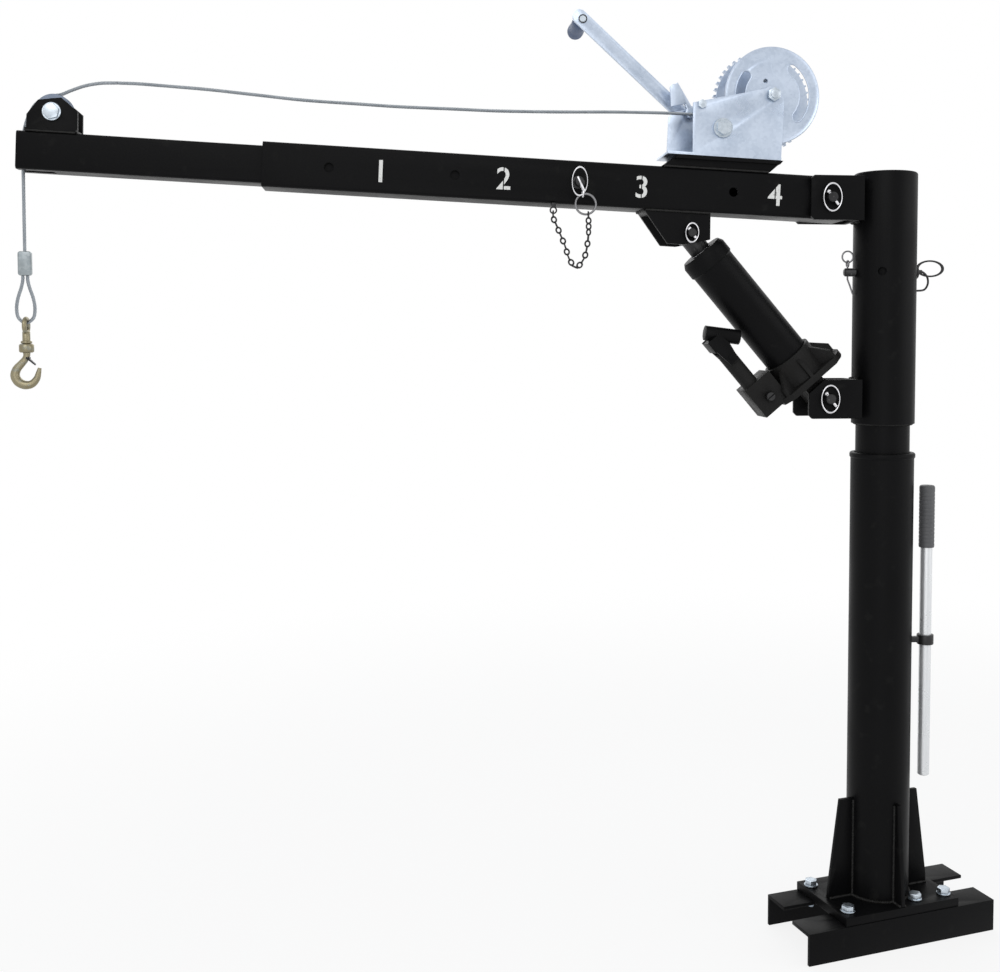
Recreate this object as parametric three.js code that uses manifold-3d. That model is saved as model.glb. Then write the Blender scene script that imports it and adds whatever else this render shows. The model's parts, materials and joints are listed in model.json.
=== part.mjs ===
import * as THREE from 'three';
import { mergeVertices } from 'three/addons/utils/BufferGeometryUtils.js';
import Module from 'manifold-3d';

// Pickup truck crane: swivel mast on a bolted base, lifting boom with sliding extension,
// hydraulic jack, hand winch with wire rope and hook. Millimetres, +Z up, mast axis on Z,
// underside of the base plate at Z = 0.

const wasm = await Module();
wasm.setup();

const deg = Math.PI / 180;
const half = 0.5;

// General clearances
const gap = 0.3;
const overrun = 2;
const weld = 0.0001;
const facets = {
  wire: 5, hex: 6, small: 8, bolt: 10, plain: 12, round: 16, fine: 24, disc: 28, hoop: 14, link: 10,
};

// Attitude of the turning parts
const headTurn = -13.627;
const boomPitch = 2.606;

// Base
const angle = { length: 312, leg: 45, wall: 5, face: 65, frontShift: 1, rearShift: 12 };
const basePlate = { length: 190, width: 128, thick: 12 };
const baseBolt = {
  radius: 5, flats: 16, head: 7, nut: 8, tail: 5, rowInset: 20, washer: 10, washerThick: 2,
  corner: 12, wideCorner: 15, middle: 33,
};
const boltRow = angle.face - baseBolt.rowInset;
const plateEnd = basePlate.length * half;
const plateSide = basePlate.width * half;
const boltsFront = [baseBolt.wideCorner - plateEnd, baseBolt.middle, plateEnd - baseBolt.corner];
const boltsRear = [baseBolt.corner - plateEnd, -baseBolt.middle, plateEnd - baseBolt.wideCorner];
const gusset = { height: 143, thick: 6, insetX: 11, topX: 66, insetY: 1, topY: 52, lip: 12 };

// Mast
const post = { radius: 44.5, wall: 5, top: 656, ring: 46, ringHeight: 7, ringEdge: 1, topEdge: 2 };
const neck = { radius: 38, wall: 5, bottom: 350, top: 960 };
const bearing = { radius: 39.2, bore: 30, bottom: 330 };
const headTube = { radius: 44.5, wall: 5, bottom: 698, top: 1055, cap: 5, chamfer: 3 };
const headPin = {
  radius: 6, z: 914, left: -60, right: 56, collar: 9, collarThick: 4, clipX: -55,
  ringX: 68, ringZ: 920, ringWide: 19, ringHigh: 11, wire: 1.8, arcWire: 1.2,
  arc: [[57, 915], [64, 908], [65, 898], [60, 890], [47.5, 888]],
};
const headClip = {
  x: -55, wire: 1.2, stemLow: 903, stemHigh: 930, loopZ: 936, loop: 8, linkZ: 924, link: 4.5,
  tail: [[-55, 904], [-51, 894], [-47, 883]],
};

// Brackets on the head
const bracket = {
  room: 1, plate: 6, pivotX: -93, tip: -122, webNear: -45, upper: 1016, upperHalf: 31,
  lower: 735, lowerTop: 27, lowerFoot: 28, cornerX: 22, cornerZ: 19.5, edge: 5,
};
const pivotPin = { radius: 7, head: 11, headThick: 5, ring: 19 };
const lynch = { wire: 1.6, stem: 2.3, stemTurn: 52, pinPast: 7, clipPast: 5 };

// Boom, distances along the boom from the pivot and up from its centreline
const boom = {
  size: 60, wall: 4, heel: -24, tip: 780, holes: [138, 356, 524, 692], lockHole: 1, hole: 6.5,
};
const boomFace = boom.size * half;
const bracketInner = boomFace + bracket.room;
const extension = { slide: 1, wall: 4, heelPast: 50, tip: 1095, notch: 18, notchLength: 45 };
const extensionSize = boom.size - (boom.wall + extension.slide) / half;
const extensionFace = extensionSize * half;

// Lug under the boom, [along, down from the underside]
const boomLug = {
  inner: 20, plate: 6, web: 6, pinS: 194, pinDown: 28.7, frontS: 262, rearS: 168,
  foot: [[226.8, 45], [204, 45.2], [166.6, 36.7]],
};
const lugTop = -boomFace - gap;
const upperPinUp = lugTop - boomLug.pinDown;
const upperPin = { radius: 6, head: 9, headThick: 4, ring: 13 };

// Lock pin and its chain, outward distances from the near face of the boom
const lockPin = {
  radius: 6, noseRoom: 0.6, reach: 17, collar: 9, collarThick: 2.7, eyeS: 350.5,
  eyeUp: -15.4, eye: 4.5, eyeWire: 1.5, eyeOut: 12, stem: 2.2,
  ringS: 346, ringUp: -29.9, ring: 14, ringWire: 1.2,
};
const chain = {
  wire: 1.1, loop: 3.2, pitch: 8.6, sides: 4, steps: 6, overlapShare: 1.9, stud: 3, studHook: 4.2,
  path: [
    [341.9, 12, -40.3], [340.6, 12, -58], [340.5, 11.5, -78], [345, 11, -104], [355, 10, -116],
    [364, 9, -106], [371, 8, -88], [383, 6.6, -62], [388.6, 6, -50], [389, 6, -41.2],
  ],
};

// Tip of the extension, distances back from the tip and up from its top face
const sheaveBracket = {
  inner: 12, plate: 4, footInset: 0.5, footThick: 4, footFrom: 10, footTo: 75,
  cheek: [[10, 1], [10, 22.5], [24, 42], [53, 46.6], [74.3, 29.8], [75, 1]],
  boltBack: 41.6, boltUp: 27.6, slot: 12, slotTo: 46, slotRoom: 1, wheelSlot: 12,
};
const sheave = {
  radius: 25, groove: 20.1, grooveHalf: 3, halfWidth: 7, bore: 6.3, bolt: 6, rim: 1.5, rootEdge: 0.8,
  sides: 24,
};
const sheavePin = { head: 12, headThick: 5, flats: 17 };

// Wire rope, along the boom and up from its top face
const rope = {
  radius: 2.25, sides: 6, runSteps: 40, overSteps: 22, dropSteps: 4, loopSteps: 24, exitShare: 4,
  run: [
    [100.2, 81.4], [150, 79.8], [191, 78.4], [233, 77.6], [303, 74.4], [387, 69], [470, 64.9],
    [536, 63.4], [601, 61.8], [666, 61.8], [730, 62], [794, 64.8], [857, 67.6], [919, 68.7],
    [950, 69], [974, 68.2],
  ],
  over: [
    [974.6, 68.2], [996, 66.4], [1016, 61.6], [1034, 54], [1046, 48.2], [1058, 45.4], [1069, 41],
    [1079, 32.5], [1086.5, 18], [1091.4, 0], [1093.2, -18], [1092.8, -26],
  ],
};
const drop = { x: -1184.5, top: 1069.35 };
const ferrule = { top: 935, bottom: 903, half: 8.5, halfThick: 4.4, chamfer: 2 };
const ropeEye = {
  side: [[3.1, 902.7], [3.1, 898], [5, 888], [10, 872], [11.7, 858], [9.2, 846.5], [0, 840.3]],
};
const hookEye = { z: 836.85, radius: 9, wire: 3, shank: 5, knob: 3 };
const hook = {
  collar: 9.5, collarTop: 812.6, collarFoot: 801, bore: 5.4, pocket: 7.6, knobFoot: 803.5, steps: 20,
  path: [
    [0, 801.5], [-1, 794], [-6, 787], [-13, 779], [-15.5, 770.5], [-11.5, 762], [-3, 757.6],
    [6, 759], [12.4, 766], [14.6, 774], [16.4, 780],
  ],
  wire: 5.2,
};
const latch = {
  pivotX: 1.2, pivotZ: 793.6, halfWidth: 3, thick: 1, pin: 1.5, ear: 3.2,
  tipX: 11, tipZ: 785, room: 10,
};

// Winch, along the boom and up from its top face
const winchMount = {
  half: 38, low: 11, high: 16, leg: 5, lap: 0.5, fromHigh: 72, toHigh: 220, fromLow: 76, toLow: 225,
  footFrom: 88, footTo: 240,
};
const winchFrame = {
  half: 38, sheet: 3.5, baseThick: 3.7, baseFrom: 75, baseTo: 235, foot: 17,
  near: [[75.4, 17], [75.4, 96], [79, 107], [86, 114.5], [97, 117], [104, 112.6], [203, 87.7], [199.8, 17]],
  far: [
    [75.4, 17], [75.4, 96], [79, 107], [86, 114.5], [97, 117], [104, 112.6], [203, 90], [214, 87],
    [221, 79], [221, 30], [215, 17],
  ],
};
const drum = {
  s: 90.5, up: 105.5, core: 21.4, flange: 67, nearOut: -31, nearIn: -29, farIn: 19, farOut: 21,
  bore: 6.3, axle: 6, axleHead: 5, axleNut: 4, axleFlats: 17, rib: 55, ribHalf: 2.4, ribRise: 1.2,
  slotRadius: 41, slotHalf: 4.5, slotSweep: 62, slotSteps: 8, slotCentres: [28, 208],
  smallHole: 3.2, smallRadius: 24, smallTurn: 65,
};
const gear = {
  teeth: 45, module: 3, near: 21.3, far: 29.3, pressure: 20, backlash: 0.35, footShare: 1.25,
  flankSteps: 1, lighten: 9, spokes: 5, spokeRadius: 42,
};
const pinion = {
  teeth: 12, near: 21.6, far: 31, shaft: 6, s: 160, up: 55.5, flankSteps: 2, nearEnd: -44, farEnd: 59,
  head: 6, flats: 19, flange: 13.5, flangeThick: 2.5, nut: 6, bush: 10,
};
const winding = {
  radius: 24, pitch: 5.3, loops: 4, stepsPerLoop: 20, endSteps: 8, sides: 6, startY: -28.6,
  bendY: -24.1, settleShare: 0.11,
};
const tieBar = { s: 190.8, up: 86, radius: 4, nut: 3, flats: 11 };
const pawl = {
  near: 22, far: 28.4, bore: 4.3, hub: 8.5, clear: 0.7, beak: 4, leverS: 214.6, leverUp: 125, leverHalf: 4,
};
const crank = {
  near: 46, far: 52, half: 10, tipS: 349.4, tipUp: 210.6, over: 6, spindle: 4, spindleEnd: 130,
  spindleHead: 7, spindleHeadThick: 3, rivet: 1.4, gripFrom: 52.4, gripTo: 126.6, grip: 12,
  gripNeck: 9.5,
};

// Jack, distances along its axis (t), across it (n) from the lower pin
const jack = {
  lug: 24.7, lugHalf: 15, floor: 33, foot: 42, boss: 36.5, bossTop: 80, seat: 46,
  plan: [
    [-52, -30], [-52, 30], [-38, 44], [38, 44], [52, 32], [58, 20], [58, -20], [52, -32], [38, -44],
    [-38, -44],
  ],
  ribThick: 5, ribs: [0, 42, 90, 138, 222, 270, 318], ribReach: 62, ribRise: 7,
  pumpN: -69, pumpY: -16, pumpRadius: 12, pumpTop: 147, pumpBlock: 15, pumpBlockTop: 86,
  pumpBlockFrom: -84, pumpBlockTo: -40, pumpFoot: 37,
};
const cylinder = {
  radius: 32, inner: 26, bottom: 46.3, floor: 52, top: 272, shoulder: 262, cap: 34, capFrom: 250,
  capTo: 266, capStep: 2, capEdge: 4, bore: 15.3,
};
const ram = { radius: 15, piston: 25.7, pistonFrom: 53, pistonTo: 70, eye: 16, eyeHalf: 14, eyeBore: 9.8 };
const socket = {
  pivotT: 136, pivotN: -69, pin: 4, from: [183.5, -72.8], to: [146.5, -39], radius: 10.5, bore: 8.2,
  floor: 6, cheekNear: 14.2, cheekFar: 18, webFrom: 153.6, webTo: 171, webN: [-82, -60],
  cheek: [[128, -76], [128, -62], [153, -58], [172, -62], [172, -82], [153, -80]],
};
const valve = { t: 58, n: -62, y: -31.4, radius: 6, bore: 6.3, length: 17, depth: 8, slot: 1.6, slotDeep: 3 };

// Handle carried on the post
const handle = {
  reach: 68, azimuth: -15, bar: 8.5, bottom: 182, top: 601, grip: 11, gripBottom: 517, gripTop: 607,
  gripEdge: 2,
  clipZ: 382, clipHalf: 7, clipRadius: 12, clipBore: 8.9, armHalf: 4, armThick: 6,
};

// Finishes
const blackPaint = { color: 0x141414, roughness: 0.45, metalness: 0.1 };
const castBlack = { color: 0x111111, roughness: 0.7, metalness: 0.2 };
const zinc = { color: 0xc3ccd6, roughness: 0.35, metalness: 0.85 };
const nickel = { color: 0xbfbfc2, roughness: 0.25, metalness: 0.9 };
const yellowZinc = { color: 0xb8a878, roughness: 0.35, metalness: 0.8 };
const silver = { color: 0xd0d2d4, roughness: 0.3, metalness: 0.8 };
const darkGrip = { color: 0x33363b, roughness: 0.7, metalness: 0 };
const wireSteel = { color: 0x8d9296, roughness: 0.5, metalness: 0.7 };
const blackOxide = { color: 0x2a2a2b, roughness: 0.5, metalness: 0.6 };

// Turning geometry into solids and back
function weldedIndex(geometry) {
  const plain = geometry.clone();
  plain.deleteAttribute('normal');
  plain.deleteAttribute('uv');
  return mergeVertices(plain, weld);
}

function signedVolume(position, index) {
  const a = new THREE.Vector3();
  const b = new THREE.Vector3();
  const c = new THREE.Vector3();
  let sum = 0;
  for (let i = 0; i < index.length; i += 3) {
    a.fromBufferAttribute(position, index[i]);
    b.fromBufferAttribute(position, index[i + 1]);
    c.fromBufferAttribute(position, index[i + 2]);
    sum += a.dot(b.cross(c));
  }
  return sum;
}

function solid(geometry) {
  const joined = weldedIndex(geometry);
  const corners = joined.index.array;
  const kept = [];
  for (let i = 0; i < corners.length; i += 3) {
    const [p, q, r] = [corners[i], corners[i + 1], corners[i + 2]];
    if (p !== q && q !== r && r !== p) {
      kept.push(p, q, r);
    }
  }
  if (signedVolume(joined.attributes.position, kept) < 0) {
    kept.reverse();
  }
  return new wasm.Manifold(new wasm.Mesh({
    numProp: 3,
    vertProperties: new Float32Array(joined.attributes.position.array),
    triVerts: new Uint32Array(kept),
  }));
}

function asSolid(item) {
  return item.isBufferGeometry ? solid(item) : item;
}

function join(first, ...rest) {
  return rest.reduce((sum, item) => sum.add(asSolid(item)), asSolid(first));
}

function cut(first, ...rest) {
  return rest.reduce((sum, item) => sum.subtract(asSolid(item)), asSolid(first));
}

function meet(first, second) {
  return asSolid(first).intersect(asSolid(second));
}

function surface(item) {
  const mesh = asSolid(item).getMesh();
  const geometry = new THREE.BufferGeometry();
  geometry.setAttribute('position', new THREE.BufferAttribute(mesh.vertProperties, 3));
  geometry.setIndex(new THREE.BufferAttribute(mesh.triVerts, 1));
  geometry.computeVertexNormals();
  return geometry;
}

function piece(parent, name, item, finish) {
  const mesh = new THREE.Mesh(surface(item), new THREE.MeshStandardMaterial(finish));
  mesh.name = name;
  parent.add(mesh);
}

// Plain shapes
function block(x0, x1, y0, y1, z0, z1) {
  const shape = new THREE.BoxGeometry(x1 - x0, y1 - y0, z1 - z0);
  return shape.translate((x0 + x1) * half, (y0 + y1) * half, (z0 + z1) * half);
}

// Rod along Y at (x, z)
function rodY(radius, x, z, from, to, sides = facets.plain) {
  const shape = new THREE.CylinderGeometry(radius, radius, to - from, sides);
  return shape.translate(x, (from + to) * half, z);
}

// Rod along Z at (x, y)
function rodZ(radius, x, y, from, to, sides = facets.plain) {
  const shape = new THREE.CylinderGeometry(radius, radius, to - from, sides);
  return shape.rotateX(90 * deg).translate(x, y, (from + to) * half);
}

// Rod along X at (y, z)
function rodX(radius, y, z, from, to, sides = facets.plain) {
  const shape = new THREE.CylinderGeometry(radius, radius, to - from, sides);
  return shape.rotateZ(90 * deg).translate((from + to) * half, y, z);
}

// Rod between two points
function rodBetween(radius, a, b, sides = facets.plain) {
  const from = new THREE.Vector3(...a);
  const to = new THREE.Vector3(...b);
  const shape = new THREE.CylinderGeometry(radius, radius, from.distanceTo(to), sides);
  const turn = new THREE.Quaternion();
  turn.setFromUnitVectors(new THREE.Vector3(0, 1, 0), to.clone().sub(from).normalize());
  shape.applyQuaternion(turn);
  const middle = from.add(to).multiplyScalar(half);
  return shape.translate(middle.x, middle.y, middle.z);
}

function hexY(flats, x, z, from, to) {
  return rodY(flats / Math.sqrt(3), x, z, from, to, facets.hex);
}

// Turned shape about Z from [radius, z] points
function turned(profile, sides = facets.fine) {
  const points = profile.map(([r, z]) => new THREE.Vector2(r, z));
  return new THREE.LatheGeometry(points, sides).rotateX(90 * deg);
}

// Polygon in XZ, given as [x, z], spanning y from..to
function sidePlate(points, from, to) {
  const shape = new THREE.Shape(points.map(([x, z]) => new THREE.Vector2(x, z)));
  const body = new THREE.ExtrudeGeometry(shape, { depth: to - from, bevelEnabled: false });
  return body.rotateX(90 * deg).translate(0, to, 0);
}

// Polygon in XY spanning z from..to
function flatPlate(points, from, to) {
  const shape = new THREE.Shape(points.map(([x, y]) => new THREE.Vector2(x, y)));
  const body = new THREE.ExtrudeGeometry(shape, { depth: to - from, bevelEnabled: false });
  return body.translate(0, 0, from);
}

// Polygon in boom coordinates [along, up]
function boomPlate(points, from, to) {
  return sidePlate(points.map(([s, up]) => [-s, up]), from, to);
}

// Polygon in jack coordinates [t, n]
function jackPlate(points, from, to) {
  return sidePlate(points.map(([t, n]) => [n, t]), from, to);
}

function ring(radius, thick, steps = facets.hoop) {
  return new THREE.TorusGeometry(radius, thick, facets.wire, steps);
}

// Round wire swept along points
function wire(points, radius, sides, steps) {
  const route = new THREE.CatmullRomCurve3(points.map((p) => new THREE.Vector3(...p)), false, 'centripetal');
  return sweep(route, radius, sides, steps);
}

function sweep(route, radius, sides, steps) {
  const section = new THREE.Shape();
  for (let i = 0; i < sides; i += 1) {
    const turn = (i / sides) * Math.PI * 2;
    const [x, y] = [radius * Math.cos(turn), radius * Math.sin(turn)];
    if (i === 0) {
      section.moveTo(x, y);
    } else {
      section.lineTo(x, y);
    }
  }
  section.closePath();
  return new THREE.ExtrudeGeometry(section, { steps, extrudePath: route, bevelEnabled: false });
}

function squareTube(size, wall, heel, tip) {
  const out = size * half;
  const hollow = out - wall;
  return cut(
    block(-tip, -heel, -out, out, -out, out),
    block(-tip - overrun, -heel + overrun, -hollow, hollow, -hollow, hollow),
  );
}

// Base
function baseAngle(side, shift, boltXs) {
  const outer = side * angle.face;
  const top = -gap;
  const inner = outer - side * angle.leg;
  const profile = [
    [outer, top], [outer, top - angle.leg], [outer - side * angle.wall, top - angle.leg],
    [outer - side * angle.wall, top - angle.wall], [inner, top - angle.wall], [inner, top],
  ];
  const shape = new THREE.Shape(profile.map(([y, z]) => new THREE.Vector2(y, z)));
  const body = new THREE.ExtrudeGeometry(shape, { depth: angle.length, bevelEnabled: false });
  body.rotateX(90 * deg).rotateZ(90 * deg).translate(shift - angle.length * half, 0, 0);
  const holes = boltXs.map((x) => rodZ(baseBolt.radius + gap, x, side * boltRow,
    top - angle.wall - overrun, top + overrun));
  return cut(body, ...holes);
}

function basePlateShape() {
  const spots = [
    ...boltsFront.map((at) => [at, -boltRow]),
    ...boltsRear.map((at) => [at, boltRow]),
  ];
  const holes = spots.map(([bx, by]) => rodZ(baseBolt.radius + gap, bx, by, -overrun,
    basePlate.thick + overrun));
  return cut(block(-plateEnd, plateEnd, -plateSide, plateSide, 0, basePlate.thick), ...holes);
}

function baseBoltShape(x, y) {
  const top = basePlate.thick + gap;
  const under = -gap - angle.wall - gap;
  const flatRadius = baseBolt.flats / Math.sqrt(3);
  return join(
    rodZ(baseBolt.radius, x, y, under - baseBolt.nut - baseBolt.tail, top + baseBolt.head * half,
      facets.bolt),
    rodZ(flatRadius, x, y, top + baseBolt.washerThick - weld,
      top + baseBolt.washerThick + baseBolt.head, facets.hex),
    rodZ(baseBolt.washer, x, y, top, top + baseBolt.washerThick, facets.bolt),
    rodZ(flatRadius, x, y, under - baseBolt.nut, under, facets.hex),
  );
}

function gussetShape(foot, top) {
  const inner = post.radius + gap;
  const low = basePlate.thick + gap;
  const high = low + gusset.height;
  return sidePlate(
    [[inner, low], [foot, low], [foot, low + gusset.lip], [top, high], [inner, high]],
    -gusset.thick * half, gusset.thick * half,
  );
}

// Mast
function lowerPost() {
  const [outer, inner] = [post.radius, post.radius - post.wall];
  const bottom = basePlate.thick + gap;
  const ringLow = post.top - post.ringHeight;
  return turned([
    [inner, bottom], [outer, bottom], [outer, ringLow - post.ringEdge],
    [post.ring, ringLow + post.ringEdge], [post.ring, post.top - post.topEdge],
    [outer, post.top], [inner, post.top], [inner, bottom],
  ]);
}

function neckTube() {
  const [outer, inner] = [neck.radius, neck.radius - neck.wall];
  const reach = outer + overrun;
  return cut(
    turned([[inner, neck.bottom], [outer, neck.bottom], [outer, neck.top], [inner, neck.top],
      [inner, neck.bottom]]),
    rodX(headPin.radius + gap, 0, headPin.z, -reach, reach),
    rodY(headPin.radius + gap, 0, headPin.z, -reach, reach),
  );
}

function bearingRing() {
  const top = neck.bottom - gap;
  return turned([
    [bearing.bore, bearing.bottom], [bearing.radius, bearing.bottom], [bearing.radius, top],
    [bearing.bore, top], [bearing.bore, bearing.bottom],
  ]);
}

function headTubeShape() {
  const [outer, inner] = [headTube.radius, headTube.radius - headTube.wall];
  const roof = headTube.top - headTube.cap;
  const reach = outer + overrun;
  return cut(
    turned([
      [inner, headTube.bottom], [outer, headTube.bottom], [outer, headTube.top - headTube.chamfer],
      [outer - headTube.chamfer, headTube.top], [0, headTube.top], [0, roof], [inner, roof],
      [inner, headTube.bottom],
    ]),
    rodX(headPin.radius + gap, 0, headPin.z, -reach, reach),
    rodY(headPin.radius + gap, 0, headPin.z, -reach, reach),
  );
}

function bracketShape(centre, high, low, cornerX, cornerZ) {
  const outer = bracketInner + bracket.plate;
  const back = bracket.webNear - bracket.plate;
  const [top, foot] = [centre + high, centre - low];
  const profile = [
    [bracket.webNear, foot], [bracket.webNear, top], [bracket.tip + cornerX, top],
    [bracket.tip, top - cornerZ], [bracket.tip, foot + bracket.edge],
    [bracket.tip + bracket.edge, foot],
  ];
  const inside = block(bracket.tip - overrun, back, -bracketInner, bracketInner,
    foot - overrun, top + overrun);
  const bore = rodY(pivotPin.radius + gap, bracket.pivotX, centre, -outer - overrun, outer + overrun);
  return cut(sidePlate(profile, -outer, outer), inside, bore);
}

function headPinShape() {
  const p = headPin;
  const turn = ring(p.ringWide, p.wire, facets.round);
  turn.scale(1, p.ringHigh / p.ringWide, 1).rotateX(90 * deg).translate(p.ringX, 0, p.ringZ);
  const arc = wire(p.arc.map(([x, z]) => [x, 0, z]), p.arcWire, facets.wire, facets.plain);
  const collarFrom = headTube.radius + gap;
  return cut(
    join(
      rodX(p.radius, 0, p.z, p.left, p.right - p.radius),
      rodX(p.collar, 0, p.z, collarFrom, collarFrom + p.collarThick),
      rodX(p.wire + p.arcWire, 0, p.z + p.arcWire, collarFrom, p.right, facets.small),
      turn,
      meet(arc, block(collarFrom + p.arcWire, p.right + p.ringWide, -p.radius, p.radius, 0, headTube.top)),
    ),
    rodZ(headClip.wire + gap, p.clipX, 0, p.z - p.radius - overrun, p.z + p.radius + overrun, facets.small),
  );
}

function headClipShape() {
  const c = headClip;
  const loop = ring(c.loop, c.wire).rotateX(90 * deg).translate(c.x, 0, c.loopZ);
  const link = ring(c.link, c.wire, facets.link).rotateY(90 * deg);
  link.translate(c.x, 0, c.linkZ + c.link * half);
  return join(
    rodZ(c.wire, c.x, 0, c.stemLow, c.stemHigh, facets.hex),
    wire(c.tail.map(([x, z]) => [x, 0, z]), c.wire, facets.wire, facets.hex),
    loop,
    link,
  );
}

// Pin about the origin through a carrier face: head behind, lynch clip through its near end
function pinShape({ radius, head, headThick, ring: hoop }, carrier) {
  const clipAt = carrier + lynch.clipPast;
  const stem = rodX(lynch.stem, -clipAt, 0, -hoop * half - lynch.stem, hoop, facets.small);
  stem.rotateY(lynch.stemTurn * deg);
  return join(
    rodY(radius, 0, 0, -carrier - lynch.pinPast - lynch.stem - overrun, carrier + gap + overrun),
    rodY(head, 0, 0, carrier + gap, carrier + gap + headThick),
    stem,
    ring(hoop, lynch.wire).rotateX(90 * deg).translate(0, -clipAt, 0),
  );
}

// Boom
function boomTube() {
  const out = boomFace + overrun;
  const holes = boom.holes.map((s) => rodY(boom.hole, -s, 0, -out, out));
  return join(
    cut(
      squareTube(boom.size, boom.wall, boom.heel, boom.tip),
      rodY(pivotPin.radius + gap, 0, 0, -out, out),
      ...holes,
    ),
    chainStud(),
  );
}

function boomLugShape() {
  const b = boomLug;
  const outer = b.inner + b.plate;
  const outline = [
    [b.frontS, lugTop], ...b.foot.map(([s, down]) => [s, lugTop - down]), [b.rearS, lugTop],
  ];
  const footLow = lugTop - b.foot[0][1];
  const inside = block(-b.frontS - overrun, -b.foot[2][0] + overrun, -b.inner, b.inner,
    footLow - b.web, lugTop - b.web);
  return cut(
    boomPlate(outline, -outer, outer),
    inside,
    rodY(upperPin.radius + gap, -b.pinS, upperPinUp, -outer - overrun, outer + overrun),
  );
}

function boomExtension() {
  const e = extension;
  const hole = boom.holes[boom.lockHole];
  const out = extensionFace + overrun;
  return cut(
    squareTube(extensionSize, e.wall, hole - e.heelPast, e.tip),
    rodY(boom.hole, -hole, 0, -out, out),
    block(-e.tip - overrun, -e.tip + e.notchLength, -e.notch * half, e.notch * half, -out, out),
  );
}

function lockPinShape() {
  const p = lockPin;
  const s = boom.holes[boom.lockHole];
  const face = -boomFace - gap;
  const eyeY = -boomFace - p.eyeOut;
  const eye = ring(p.eye, p.eyeWire, facets.link).rotateY(90 * deg).translate(-p.eyeS, eyeY, p.eyeUp);
  return join(
    rodY(p.radius, -s, 0, -boomFace - p.reach, -extensionFace - p.noseRoom),
    rodY(p.collar, -s, 0, face - p.collarThick, face),
    rodBetween(p.stem, [-s, eyeY, 0], [-p.eyeS, eyeY, p.eyeUp + p.eye], facets.small),
    eye,
  );
}

function lockPinRing() {
  const p = lockPin;
  const hoop = ring(p.ring, p.ringWire, facets.round).rotateX(90 * deg);
  return hoop.translate(-p.ringS, -boomFace - p.eyeOut, p.ringUp);
}

// Chain of oval links along a route, neighbours turned a quarter and touching
function chainShape() {
  const route = new THREE.CatmullRomCurve3(
    chain.path.map(([s, out, up]) => new THREE.Vector3(-s, -boomFace - out, up)), false, 'centripetal',
  );
  const count = Math.round(route.getLength() * half / chain.pitch) * 2 + 1;
  const stretch = (route.getLength() / count + chain.wire * chain.overlapShare) * half;
  const links = [];
  for (let i = 0; i < count; i += 1) {
    const share = (i + half) / count;
    const point = route.getPointAt(share);
    const along = route.getTangentAt(share);
    const link = new THREE.TorusGeometry(chain.loop, chain.wire, chain.sides, chain.steps);
    link.scale((stretch - chain.wire) / chain.loop, 1, 1);
    link.rotateX((i % 2) * 90 * deg);
    link.applyQuaternion(new THREE.Quaternion().setFromUnitVectors(new THREE.Vector3(1, 0, 0), along));
    link.translate(point.x, point.y, point.z);
    links.push(link);
  }
  return join(...links);
}

// Stud under the boom with the hoop that holds the last link
function chainStud() {
  const [s, out, end] = chain.path[chain.path.length - 1];
  const hookY = -boomFace - out;
  const hoopZ = end + chain.wire;
  const hoop = ring(chain.studHook, chain.wire, facets.link).rotateX(90 * deg).translate(-s, hookY, hoopZ);
  return join(
    block(-s - chain.stud, -s + chain.stud, hookY - chain.stud, -boomFace + chain.stud + boom.wall,
      hoopZ + chain.studHook, -boomFace + chain.stud),
    hoop,
  );
}

// Tip of the extension
function sheaveBracketShape() {
  const b = sheaveBracket;
  const outer = b.inner + b.plate;
  const side = extensionFace - b.footInset;
  const top = gap + b.footThick;
  const slot = b.slot * half;
  return cut(
    join(
      cut(
        sidePlate(b.cheek, -outer, outer),
        block(0, b.footTo + overrun, -b.inner, b.inner, top, top + b.cheek[3][1]),
      ),
      block(b.footFrom, b.footTo, -side, side, gap, top),
    ),
    rodY(sheave.bolt + gap, b.boltBack, b.boltUp, -outer - overrun, outer + overrun),
    block(0, b.slotTo, -slot, slot, 0, top + overrun),
    block(b.boltBack - b.wheelSlot, b.boltBack + b.wheelSlot, -b.inner + b.slotRoom, b.inner - b.slotRoom,
      0, top + overrun),
  );
}

function sheaveShape() {
  const w = sheave;
  const body = turned([
    [w.bore, -w.halfWidth], [w.radius, -w.halfWidth], [w.radius, -w.halfWidth + w.rim],
    [w.groove, -w.grooveHalf + w.rootEdge], [w.groove, w.grooveHalf - w.rootEdge],
    [w.radius, w.halfWidth - w.rim], [w.radius, w.halfWidth], [w.bore, w.halfWidth],
    [w.bore, -w.halfWidth],
  ], w.sides);
  return body.rotateX(90 * deg).translate(sheaveBracket.boltBack, 0, sheaveBracket.boltUp);
}

function sheavePinShape() {
  const [x, z] = [sheaveBracket.boltBack, sheaveBracket.boltUp];
  const face = sheaveBracket.inner + sheaveBracket.plate + gap;
  return join(
    rodY(sheave.bolt, x, z, -face - sheavePin.headThick, face + sheavePin.headThick),
    rodY(sheavePin.head, x, z, -face - sheavePin.headThick, -face),
    hexY(sheavePin.flats, x, z, face, face + sheavePin.headThick),
  );
}

// Rope
function ropeEyeShape() {
  const left = ropeEye.side.map(([x, z]) => [drop.x - x, 0, z]);
  const right = ropeEye.side.slice(0, -1).reverse().map(([x, z]) => [drop.x + x, 0, z]);
  return wire([...left, ...right], rope.radius, rope.sides, rope.loopSteps);
}

function ferruleShape() {
  const [w, c] = [ferrule.half, ferrule.chamfer];
  return sidePlate([
    [drop.x - w + c, ferrule.bottom], [drop.x + w - c, ferrule.bottom], [drop.x + w, ferrule.bottom + c],
    [drop.x + w, ferrule.top - c], [drop.x + w - c, ferrule.top], [drop.x - w + c, ferrule.top],
    [drop.x - w, ferrule.top - c], [drop.x - w, ferrule.bottom + c],
  ], -ferrule.halfThick, ferrule.halfThick);
}

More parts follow.
